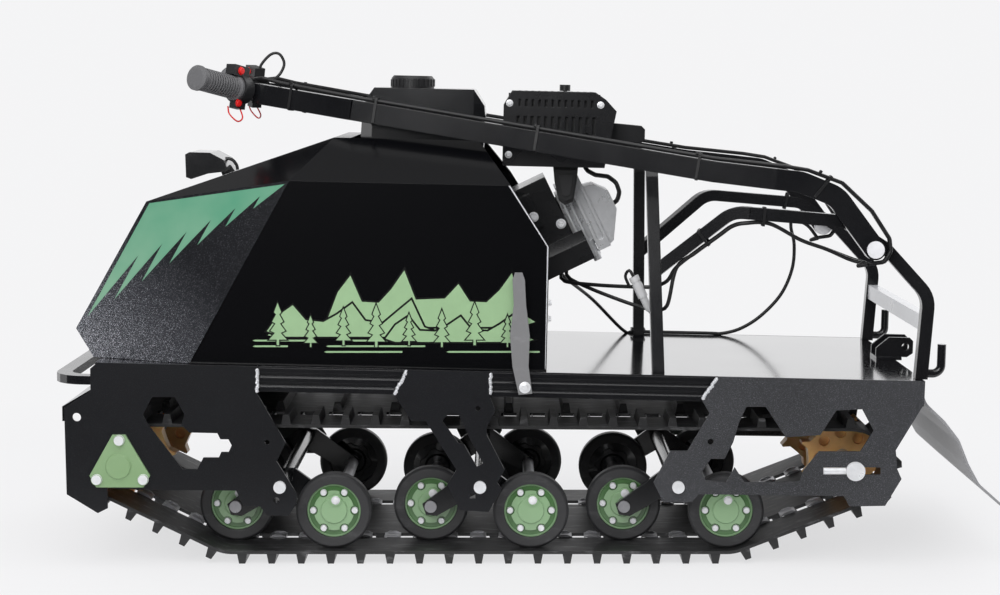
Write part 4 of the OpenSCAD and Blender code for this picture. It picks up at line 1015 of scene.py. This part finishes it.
def controls():
    """Ribs and ends of the grips, red buttons, tethers and the free cable loop."""
    rings = []
    plugs = []
    buttons = []
    for flip in BOTH_SIDES:
        way = flip(BAR_WAY)
        rings += [(flip(on_bar(0.048 + 0.0062 * k)), way, flip(BAR_UP)) for k in range(12)]
        plugs.append((flip(on_bar(0.1325)), way, flip(BAR_UP)))
        for along, up, side in ((0.040, 0.029, 0.0102), (0.040, 0.029, -0.0102), (0.036, -0.0245, 0.0092)):
            buttons.append((flip(on_bar(along, up, side)), flip(BAR_SIDE) * math.copysign(1, side),
                            flip(BAR_UP)))
    place_parts("grip_ribs", ring_part(19.4 * MM, 17.4 * MM, 3.0 * MM), rings, "grip", "handle")
    place_parts("grip_ends", bolt_part(9.0 * MM, 2.6 * MM, 28, 15.5 * MM, 0.5), plugs, "grip", "handle")
    place_parts("buttons", bolt_part(5.6 * MM, 3.4 * MM, 20, 7.0 * MM, 0.3), buttons, "red", "handle")
    rings = [(flip(on_bar(0.1328)), flip(BAR_WAY), flip(BAR_UP)) for flip in BOTH_SIDES]
    place_parts("grip_end_rings", ring_part(13.0 * MM, 9.6 * MM, 1.8 * MM), rings, "plastic", "handle")
    dots = [(flip(on_bar(0.1345)), flip(BAR_WAY), flip(BAR_UP)) for flip in BOTH_SIDES]
    place_parts("grip_end_plugs", bolt_part(4.6 * MM, 1.6 * MM, 24, 0, 0.4), dots, "plastic", "handle")
    routes = []
    for flip in BOTH_SIDES:
        routes.append([flip(on_bar(0.050, -0.033, 0.0)), flip(on_bar(0.053, -0.046, 0.008)),
                       flip(on_bar(0.040, -0.056, 0.016)), flip(on_bar(0.026, -0.048, 0.014)),
                       flip(on_bar(0.023, -0.033, 0.004))])
    cable("tethers", routes, 1.3 * MM, "red", "handle", 8, 3 * MM)
    y = -0.108
    loop = [deck(0.487, y, 0.470), deck(0.484, y, 0.486), deck(0.467, y, 0.505), deck(0.452, y, 0.506),
            deck(0.443, y, 0.490), deck(0.449, y + 0.002, 0.472), deck(0.462, y + 0.006, 0.4585)]
    cable("control_loop", [loop], 2.6 * MM, "cable", "handle", 10, 4 * MM)


def wires():
    """Lamp lead, connector and the bends of the cables at the handle's pivot."""
    lamp = [deck(0.538, 0.008, 0.316), deck(0.528, 0.008, 0.3225), deck(0.517, 0.008, 0.320),
            deck(0.510, 0.008, 0.311), deck(0.5085, 0.008, 0.3035)]
    cable("lamp_lead", [lamp], 2.8 * MM, "cable", "hood_cover", 10, 4 * MM)
    low = deck(-0.199, 0.187, 0.094)
    high = deck(-0.171, 0.184, 0.150)
    place = frame_at(low, high - low)

    def build(bm):
        length = (high - low).length
        lathe(bm, [(0, 0), (4 * MM, 0), (6.4 * MM, 6 * MM), (6.4 * MM, 0.4 * length),
                   (8.4 * MM, 0.4 * length), (8.4 * MM, 0.8 * length), (7.2 * MM, 0.8 * length),
                   (7.2 * MM, 0.86 * length),
                   (8.4 * MM, 0.86 * length), (8.4 * MM, length), (0, length)], lambda p: place @ p, 24)
    keep("connector", mesh_of("connector", build), "connector", "chassis")
    tails = [[low, deck(-0.207, 0.190, 0.082), deck(-0.2165, 0.196, 0.094)],
             [high, deck(-0.164, 0.182, 0.160), deck(-0.158, 0.178, 0.150), deck(-0.165, 0.1745, 0.133)]]
    cable("connector_leads", tails, 2.6 * MM, "cable", "chassis", 10, 4 * MM)
    pivot = deck(PIVOT_U, 0, PIVOT_W)
    end = deck(PIVOT_U + CABLE_WRAP * math.cos(WRAP_END), 0, PIVOT_W + CABLE_WRAP * math.sin(WRAP_END))
    for name, flip in (("pivot_cables_left", Vector), ("pivot_cables_right", other)):
        routes = []
        for k in (0, 1):
            shift = Vector((0.006 * k if flip is Vector else 0, 0, 0))
            start = end + Vector((0, 0.2686 + 0.0068 * k, 0))
            stop = end + Vector((0, 0.2550, 0)) + shift
            bow = (start + stop) / 2 + (end - pivot).normalized() * 0.004 + deck_way(0.010, 0, 0)
            routes.append([flip(start), flip(bow), flip(stop)])
        bend = cable(name, routes, 3.2 * MM, "cable", None, 10, 3 * MM)
        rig.blend(bend, "handle", "chassis", flip(end + Vector((0, 0.2686, 0))),
                 flip(end + Vector((0, 0.2550, 0))))


def rail_cables():
    """Cables from the pivots along the rails to the engine, as smooth curves."""
    wrap_end = ((PIVOT_U + CABLE_WRAP * math.cos(WRAP_END)) / MM, 254.6,
                (PIVOT_W + CABLE_WRAP * math.sin(WRAP_END)) / MM)

    def duct(out, below, y):
        c = math.cos(CYLINDER_LEAN)
        n = math.sin(CYLINDER_LEAN)
        return (CRANK[0] / MM - out * c - below * n, y, CRANK[1] / MM + out * n - below * c)

    routes = []
    for k in (0, 1):
        y = 248 + (2 * k - 1) * 3.4
        x, _, w = wrap_end
        routes.append([(x + 6 * k, 254.6, w), (-520 + 6 * k, y, 193), (-478, y, 208), (-436, y, 222),
                       (-385, y, 247.1), (-345, y, 247.1), (-325, y - 8, 241), (-306, y - 14, 226),
                       (-268, y - 26, 195), (-239, y - 35, 169), (-225, 205 + 10 * k, 146 - 40 * k),
                       (-205, 188, 135 - 36 * k), (-186, 184, 133 - 34 * k), (-118, 140, 130 - 12 * k),
                       duct(150 + 10 * k, 82, 76), duct(150 + 10 * k, 68, 76)])
    bow = [wrap_end, (-520, 248, 212), (-494, 250, 221), (-491, 255, 207), (-499, 261, 174),
           (-497, 264, 128), (-478, 265, 80), (-442, 265, 39), (-405, 265, 14), (-370, 265, 3.6),
           (-340, 265, 3.4),
           (-210, 265, 3.4), (-185, 261, 5), (-120, 180, 72), duct(150, 86, 50), duct(150, 68, 50)]
    routes.append([(x, -y, w) for x, y, w in bow])
    cables = cable("rail_cables_smooth", [[deck(x * MM, y * MM, w * MM) for x, y, w in route]
                                          for route in routes], 3.2 * MM, "cable", "chassis", 12)
    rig.replaces(cables, "rail_cables")


def engine_trim():
    """Ribs of the tank cap, the lamp's lens, the exhaust elbow and the liner behind the guard."""
    cap = deck(0.208, 0, 0.452)
    ribs = []
    for k in range(28):
        a = 2 * math.pi * k / 28
        way = Vector((math.cos(a), math.sin(a), 0))
        ribs.append((cap + way * 0.0368 + deck_way(0, 0, 0.002), deck_way(0, 0, 1), way))
    place_parts("cap_ribs", box_part(3.2 * MM, 4.2 * MM, 13 * MM, 0.8 * MM), ribs, "plastic", "chassis")
    lens = [(deck(0.5885, 0, 0.311), deck_way(1, 0, 0), (0, 0, 1))]
    place_parts("lamp_lens", box_part(27 * MM, 101 * MM, 1.2 * MM, 0.4 * MM), lens, "lens", "hood_cover")

    def elbow(bm):
        outline = [(-0.078, 0.3255), (-0.036, 0.3255), (-0.039, 0.300), (-0.047, 0.268), (-0.057, 0.261),
                   (-0.071, 0.267), (-0.076, 0.300)]
        middle = Vector((-0.058, 0.296))
        for share, low, high in ((1.0, 0.086, 0.104), (0.82, 0.104, 0.110), (0.60, 0.110, 0.113)):
            ring = [middle + (Vector(p) - middle) * share for p in outline]
            prism(bm, [deck(u, low, w) for u, w in ring], Vector((0, high - low, 0)))
    keep("exhaust_elbow", mesh_of("elbow", elbow), "plastic", "chassis", False)

    def liner(bm):
        fold = [deck(-0.112, 0.114, 0.338), deck(-0.112, 0.1235, 0.346), deck(-0.112, 0.1235, 0.440),
                deck(-0.112, 0.113, 0.448), deck(-0.112, 0.1118, 0.447), deck(-0.112, 0.1222, 0.4395),
                deck(-0.112, 0.1222, 0.3465), deck(-0.112, 0.1128, 0.339)]
        prism(bm, fold, deck_way(0.154, 0, 0))
    keep("guard_liner", mesh_of("liner", liner), "plastic", "chassis", False)


# ---- Print on the hood ----
def layer_mesh(shapes, lay):
    """Flat shapes one over the other; each has a dark rim. lay maps (a, b, lift) to a point."""
    bm = bmesh.new()
    for level, (outline, rim) in enumerate(shapes):
        verts = [bm.verts.new(lay(a, b, 0.15 * MM + level * 0.03 * MM)) for a, b in outline]
        face = bm.faces.new(verts)
        face.material_index = 0
        if rim:
            face.normal_update()
            cut = bmesh.ops.inset_individual(bm, faces=[face], thickness=rim, use_even_offset=True)
            for f in cut["faces"]:
                f.material_index = 1
    bmesh.ops.triangulate(bm, faces=bm.faces)
    mesh = bpy.data.meshes.new("print")
    bm.to_mesh(mesh)
    bm.free()
    return mesh


def hills_design():
    """Hills, a row of pines and wind strokes by rule: [outline, rim] in metres along and up the side."""
    rng = random.Random(11)
    shapes = []
    for k in range(12):
        z = 0.3505 + 0.0092 * (k % 6)
        start = -0.018 + 0.037 * ((5 * k) % 12)
        end = min(start + 0.11 + 0.09 * rng.random(), 0.470 - 0.012 * (k % 5))
        shapes.append(([(start, z), (end - 0.004, z), (end, z + 0.0014), (end - 0.004, z + 0.0028),
                        (start, z + 0.0028)], 0))

    def ridge(x0, x1, base, peaks, height, drop):
        step = (x1 - x0) / (2 * peaks)
        top = []
        for k in range(2 * peaks + 1):
            rise = height * (0.72 + 0.28 * rng.random()) if k % 2 else height * (0.25 + 0.2 * rng.random())
            if k in (0, 2 * peaks):
                rise = 0.0
            x = x0 + k * step
            top.append((x, base + rise))
            if k < 2 * peaks:
                top.append((x + step * 0.55, base + rise * 0.62 + (height * 0.16 if k % 2 == 0 else 0)))
        return top + [(x1 - drop, base - drop * 0.35), (x0 + drop, base - drop * 0.35)]

    def pine(x, base, height):
        left = []
        right = []
        for k in range(4):
            low = base + height * (0.12 + 0.20 * k)
            wide = height * (0.24 - 0.045 * k)
            left += [(x - wide, low), (x - wide * 0.42, low + height * 0.16)]
            right += [(x + wide, low), (x + wide * 0.42, low + height * 0.16)]
        return ([(x + 0.05 * height, base), (x + 0.05 * height, base + 0.12 * height)] + right
                + [(x, base + height)] + list(reversed(left))
                + [(x - 0.05 * height, base + 0.12 * height), (x - 0.05 * height, base)])

    shapes.append((ridge(-0.018, 0.330, 0.400, 4, 0.092, 0.03), 0.0032))
    shapes.append((ridge(0.140, 0.428, 0.384, 3, 0.066, 0.03), 0.0032))
    shapes.append((ridge(-0.018, 0.236, 0.372, 3, 0.046, 0.02), 0.0032))
    for k in range(8):
        tree = pine(0.034 + 0.053 * k, 0.358 + 0.003 * (k % 2), 0.058 + 0.009 * ((k * 5) % 3))
        shapes.append((tree, 0.0018))
    return shapes


def shard_design():
    """Field under the upper edge of the nose with even slashes along the front edge: (u, w) pairs."""
    crease = Vector((0.3985, 0.2945))
    brow = Vector((0.6275, 0.2545))
    edge = Vector((0.108, -0.204))
    count = 7
    low = brow + edge * 0.52
    shapes = [([crease, brow, low], 0)]
    for k in range(count):
        a = crease.lerp(low, k / count)
        b = crease.lerp(low, (k + 1) / count)
        shapes.append(([a, b, b + edge * (0.10 + 0.052 * k)], 0))
    return shapes


def print_pieces():
    """The generic design on both sides and the shard fields on both nose sides."""
    shapes = hills_design()
    for name, side in (("left", 1), ("right", -1)):
        mesh = layer_mesh(shapes, lambda x, z, lift: (x, side * (HOOD_SIDE + lift), z))
        piece(f"side_print_{name}", mesh, ("print", "outline"), "hood_cover", side < 0)
        mesh = layer_mesh(shard_design(), lambda u, w, lift: deck(u, side * (nose_side(u, w) + lift), w))
        piece(f"nose_print_{name}", mesh, ("shard",), "hood_cover", side < 0)


def nose_side(u, w):
    """Half width of the flat nose side ahead of the side panel."""
    return HOOD_SIDE - (52 / 165) * (u - 0.549 + w * (0.157 / 0.300))


def piece(name, mesh, finishes, body, flip):
    """Makes a flat print a piece with its own finishes."""
    obj = new_object(name, mesh)
    for finish in finishes:
        mesh.materials.append(FINISH[finish])
    side = -1 if flip else 1
    for face in mesh.polygons:
        if face.normal.y * side < 0:
            face.flip()
    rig.ride(obj, body)
    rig.slot(obj, PIECE_SLOTS[finishes[0]])
    return obj


def hood_edges():
    """Pale strip along the hood's rear edge, a painted highlight, and the foot bracket's bolts."""
    # The pale strip along the rear edge, narrowing downwards, is a painted highlight.
    def build(bm):
        for side in (1, -1):
            y = side * (HOOD_SIDE + 0.0003)
            path = [deck(0.0365, y, 0.300), deck(-0.0275, y, 0.203), deck(-0.0275, y, 0.004)]
            wide = [2.6 * MM, 2.2 * MM, 1.0 * MM]
            inner = [p + deck_way(w, 0, 0) for p, w in zip(path, wide)]
            for a, b, c, d in zip(path, path[1:], inner[1:], inner):
                prism(bm, [a, b, c, d], Vector((0, side * 0.5 * MM, 0)))
    keep("hood_edge", mesh_of("edge", build), "painted_edge_highlight", "hood_cover", False)
    spots = [(deck(-0.030, side * 0.262, w), deck_way(-1, 0, 0), (0, 0, 1))
             for side in (1, -1) for w in (0.112, 0.086)]
    place_parts("rear_bolts", bolt_part(4.4 * MM, 4 * MM, 6, 6.5 * MM), spots, "zinc", "hood_cover")


# ---- Settings ----
class SnowTugColors(bpy.types.PropertyGroup):
    black: FloatVectorProperty(name="Black", description="Chassis paint", subtype="COLOR",
                               default=(0.0055, 0.0057, 0.007), min=0, max=1)
    plate: FloatVectorProperty(name="Side plates", description="Coat of the side plates", subtype="COLOR",
                               default=(0.0042, 0.0046, 0.0066), min=0, max=1)
    # The rear plates' colour is the side plates' coat painted lighter, standing in for the light that falls on them.
    rear_plate: FloatVectorProperty(name="Rear plates", description="Coat of the rear plates",
                                    subtype="COLOR", default=(0.028, 0.029, 0.033), min=0, max=1)
    disc: FloatVectorProperty(name="Wheel discs", description="Enamel of the wheel discs", subtype="COLOR",
                              default=(0.25, 0.40, 0.22), min=0, max=1)
    cover: FloatVectorProperty(name="Bearing covers", description="Paint of the bearing covers",
                               subtype="COLOR", default=(0.215, 0.34, 0.17), min=0, max=1)
    sprocket: FloatVectorProperty(name="Sprockets", description="Cast plastic of the sprockets",
                                  subtype="COLOR", default=(1.0, 0.62, 0.26), min=0, max=1)
    tyre: FloatVectorProperty(name="Tyres", description="Rubber of the road wheels", subtype="COLOR",
                              default=(0.030, 0.030, 0.032), min=0, max=1)
    grip: FloatVectorProperty(name="Grips", description="Rubber of the grips", subtype="COLOR",
                              default=(0.11, 0.11, 0.115), min=0, max=1)


class SnowTugPrint(bpy.types.PropertyGroup):
    hood: FloatVectorProperty(name="Hood", description="Hood gloss", subtype="COLOR",
                              default=(0.0022, 0.0023, 0.003), min=0, max=1)
    print_green: FloatVectorProperty(name="Print", description="Ink of the side design", subtype="COLOR",
                                     default=(0.265, 0.42, 0.225), min=0, max=1)
    shard_dark: FloatVectorProperty(name="Shard, deep", description="Nose print at its upper edge",
                                    subtype="COLOR", default=(0.05, 0.24, 0.14), min=0, max=1)
    shard_pale: FloatVectorProperty(name="Shard, pale", description="Nose print at its lower edge",
                                    subtype="COLOR", default=(0.165, 0.33, 0.22), min=0, max=1)


class SnowTugStage(bpy.types.PropertyGroup):
    distance: FloatProperty(name="Camera distance", description="From the middle plane", default=3.54,
                            min=1, unit="LENGTH")
    camera_x: FloatProperty(name="Camera along", description="Place along the vehicle", default=0.038,
                            unit="LENGTH")
    height: FloatProperty(name="Camera height", description="Above the floor", default=0.7935, min=0,
                          unit="LENGTH")
    lens: FloatProperty(name="Focal length", description="In millimetres on a 36 mm sensor",
                        default=73.4, min=10)
    tilt: FloatProperty(name="Tilt", description="Downward tilt of the camera", subtype="ANGLE",
                        default=math.radians(4.2))
    world: FloatProperty(name="World light", description="Strength of the surrounding light", default=0.75,
                         min=0)
    key: FloatProperty(name="Key light", description="Power of the overhead soft light", default=36, min=0,
                       unit="POWER")
    fill: FloatProperty(name="Fill light", description="Power of the soft light beside the camera",
                        default=52, min=0, unit="POWER")


# ---- Operators ----
class SNOWTUG_OT_stage(bpy.types.Operator):
    """Camera, soft lights, pale world and the floor"""
    bl_idname = "snowtug.stage"
    bl_label = "Stage"

    def execute(self, context):
        s = context.scene.snow_stage
        scene = context.scene
        scene.view_settings.view_transform = "Standard"
        data = bpy.data.cameras.new("Camera")
        data.lens = s.lens
        data.sensor_width = 36
        horizon = (IMAGE_SIZE[1] / 2 - 78) / IMAGE_SIZE[0]
        data.shift_y = -(horizon - math.tan(s.tilt) * s.lens / 36)
        data.shift_x = (500 - 505) / IMAGE_SIZE[0]
        camera = new_object("Camera", data)
        camera.location = (s.camera_x, s.distance, s.height)
        camera.rotation_euler = (math.pi / 2 - s.tilt, 0, math.pi)
        scene.camera = camera
        self.lamp("Key", (0.3, 1.2, 2.6), (0, 0, 0.3), 2.6, s.key)
        self.lamp("Fill", (1.1, 3.7, 1.95), (0, 0, 0.25), 1.8, s.fill)
        self.lamp("Rim", (-1.8, -2.2, 1.9), (0, 0, 0.3), 1.8, s.key * 0.5)
        self.world(scene, s.world)
        self.floor()
        return {"FINISHED"}

    def lamp(self, name, place, aim, size, power):
        data = bpy.data.lights.new(name, "AREA")
        data.size = size
        data.energy = power
        lamp = new_object(name, data)
        lamp.location = place
        lamp.rotation_euler = (Vector(aim) - Vector(place)).to_track_quat("-Z", "Y").to_euler()

    def world(self, scene, strength):
        world = bpy.data.worlds.new("Studio")
        world.use_nodes = True
        kit = NodeKit(world.node_tree)
        background = kit.tree.nodes["Background"]
        background.inputs["Color"].default_value = STUDIO_WHITE
        path = kit.add("ShaderNodeLightPath").outputs
        way = kit.add("ShaderNodeTexCoord").outputs["Generated"]
        behind = kit.span(kit.part("Z", way), 0.25, 0.50, 1.0, 0.30)
        shine = kit.mix(kit.span(kit.part("Y", way), -0.15, 0.45), behind, 0.03)
        lit = kit.mix(path["Is Glossy Ray"], strength, shine)
        seen = kit.sum("MAXIMUM", path["Is Camera Ray"], path["Is Transmission Ray"])
        kit.plug(kit.mix(seen, lit, STUDIO_GLOW), background.inputs["Strength"])
        scene.world = world

    def floor(self):
        mesh = bpy.data.meshes.new("floor")
        size = 14.0
        mesh.from_pydata([(-size, -size, 0), (size, -size, 0), (size, size, 0), (-size, size, 0)], [],
                         [(0, 1, 2, 3)])
        floor = new_object("floor", mesh)
        mat = bpy.data.materials.new("Pale floor")
        mat.use_nodes = True
        kit = NodeKit(mat.node_tree)
        paper = kit.tree.nodes["Principled BSDF"]
        paper.inputs["Base Color"].default_value = (0.84, 0.84, 0.85, 1)
        paper.inputs["Roughness"].default_value = 0.8
        glow = kit.add("ShaderNodeEmission")
        glow.inputs["Color"].default_value = STUDIO_WHITE
        path = kit.add("ShaderNodeLightPath").outputs
        place = kit.add("ShaderNodeNewGeometry").outputs["Position"]
        far = kit.add("ShaderNodeVectorMath", operation="LENGTH")
        kit.plug(place, far.inputs[0])
        share = kit.span(far.outputs["Value"], 0.7, 1.9, 0.74, 1.0)
        front = kit.span(kit.part("Y", place), 0.30, 0.80, 1.0, 0.04)
        kit.plug(kit.mix(path["Is Glossy Ray"], STUDIO_GLOW, front), glow.inputs["Strength"])
        seen = kit.sum("MAXIMUM", path["Is Camera Ray"], path["Is Glossy Ray"])
        share = kit.mix(path["Is Glossy Ray"], share, 1.0)
        mix = kit.add("ShaderNodeMixShader")
        for value, socket in zip((kit.mix(seen, 0.0, share), paper.outputs[0], glow.outputs[0]),
                                 mix.inputs):
            kit.plug(value, socket)
        kit.plug(mix.outputs[0], kit.tree.nodes["Material Output"].inputs[0])
        mesh.materials.append(mat)
        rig.stage(floor)


class SNOWTUG_OT_finishes(bpy.types.Operator):
    """Gives every construction node its finish"""
    bl_idname = "snowtug.finishes"
    bl_label = "Finishes"

    def execute(self, context):
        FINISH.update(make_finishes(context.scene.snow_colors, context.scene.snow_print))
        for name, nodes in CAD_FINISHES.items():
            for node in nodes:
                dress(CAD[node], FINISH[name])
        return {"FINISHED"}


class SNOWTUG_OT_fasteners(bpy.types.Operator):
    """Bolts of wheels, covers, straps, duct and guard"""
    bl_idname = "snowtug.fasteners"
    bl_label = "Fasteners"

    def execute(self, context):
        fasteners()
        return {"FINISHED"}


class SNOWTUG_OT_belt_clips(bpy.types.Operator):
    """Saddle clips on the belt"""
    bl_idname = "snowtug.belt_clips"
    bl_label = "Belt clips"

    def execute(self, context):
        belt_clips()
        return {"FINISHED"}


class SNOWTUG_OT_welds(bpy.types.Operator):
    """Beads at the side plates"""
    bl_idname = "snowtug.welds"
    bl_label = "Welds"

    def execute(self, context):
        welds()
        return {"FINISHED"}


class SNOWTUG_OT_ties(bpy.types.Operator):
    """Ties that hold the cables"""
    bl_idname = "snowtug.ties"
    bl_label = "Ties"

    def execute(self, context):
        ties()
        return {"FINISHED"}


class SNOWTUG_OT_controls(bpy.types.Operator):
    """Grips, buttons, tethers and loop"""
    bl_idname = "snowtug.controls"
    bl_label = "Controls"

    def execute(self, context):
        controls()
        return {"FINISHED"}


class SNOWTUG_OT_wires(bpy.types.Operator):
    """Leads, connector and pivot bends"""
    bl_idname = "snowtug.wires"
    bl_label = "Wires"

    def execute(self, context):
        wires()
        return {"FINISHED"}


class SNOWTUG_OT_rail_cables(bpy.types.Operator):
    """Smooth cables on the rails"""
    bl_idname = "snowtug.rail_cables"
    bl_label = "Rail cables"

    def execute(self, context):
        rail_cables()
        return {"FINISHED"}


class SNOWTUG_OT_engine_trim(bpy.types.Operator):
    """Cap ribs, lens, elbow and liner"""
    bl_idname = "snowtug.engine_trim"
    bl_label = "Engine trim"

    def execute(self, context):
        engine_trim()
        return {"FINISHED"}


class SNOWTUG_OT_print_pieces(bpy.types.Operator):
    """Generic print on the hood"""
    bl_idname = "snowtug.print_pieces"
    bl_label = "Print"

    def execute(self, context):
        print_pieces()
        return {"FINISHED"}


class SNOWTUG_OT_hood_edges(bpy.types.Operator):
    """Painted highlight strips and bolts of the hood"""
    bl_idname = "snowtug.hood_edges"
    bl_label = "Hood edges"

    def execute(self, context):
        hood_edges()
        return {"FINISHED"}


class SNOWTUG_PT_panel(bpy.types.Panel):
    """Lists the steps in the sidebar"""
    bl_label = "Snow Tug"
    bl_idname = "SNOWTUG_PT_panel"
    bl_space_type = "VIEW_3D"
    bl_region_type = "UI"
    bl_category = "Snow Tug"

    def draw(self, context):
        for operator in OPERATORS:
            self.layout.operator(operator.bl_idname)
        for group in (context.scene.snow_colors, context.scene.snow_print, context.scene.snow_stage):
            for key in group.bl_rna.properties.keys():
                if key not in ("rna_type", "name"):
                    self.layout.prop(group, key)


OPERATORS = (
    SNOWTUG_OT_stage, SNOWTUG_OT_finishes, SNOWTUG_OT_fasteners, SNOWTUG_OT_belt_clips, SNOWTUG_OT_welds,
    SNOWTUG_OT_ties, SNOWTUG_OT_controls, SNOWTUG_OT_wires, SNOWTUG_OT_rail_cables,
    SNOWTUG_OT_engine_trim, SNOWTUG_OT_print_pieces, SNOWTUG_OT_hood_edges)
GROUPS = (SnowTugColors, SnowTugPrint, SnowTugStage)


def register():
    for cls in GROUPS + OPERATORS + (SNOWTUG_PT_panel,):
        bpy.utils.register_class(cls)
    bpy.types.Scene.snow_colors = PointerProperty(type=SnowTugColors)
    bpy.types.Scene.snow_print = PointerProperty(type=SnowTugPrint)
    bpy.types.Scene.snow_stage = PointerProperty(type=SnowTugStage)


def unregister():
    del bpy.types.Scene.snow_colors
    del bpy.types.Scene.snow_print
    del bpy.types.Scene.snow_stage
    for cls in reversed(GROUPS + OPERATORS + (SNOWTUG_PT_panel,)):
        bpy.utils.unregister_class(cls)


def main():
    register()
    for operator in OPERATORS:
        group, name = operator.bl_idname.split(".")
        getattr(getattr(bpy.ops, group), name)()
    sizes = {"cad": [list(p) for p in CAD_BOX], "visual": [list(p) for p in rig.bounds()]}
    with open("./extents.json", "w") as out:
        json.dump(sizes, out)


if __name__ == "__main__":
    main()
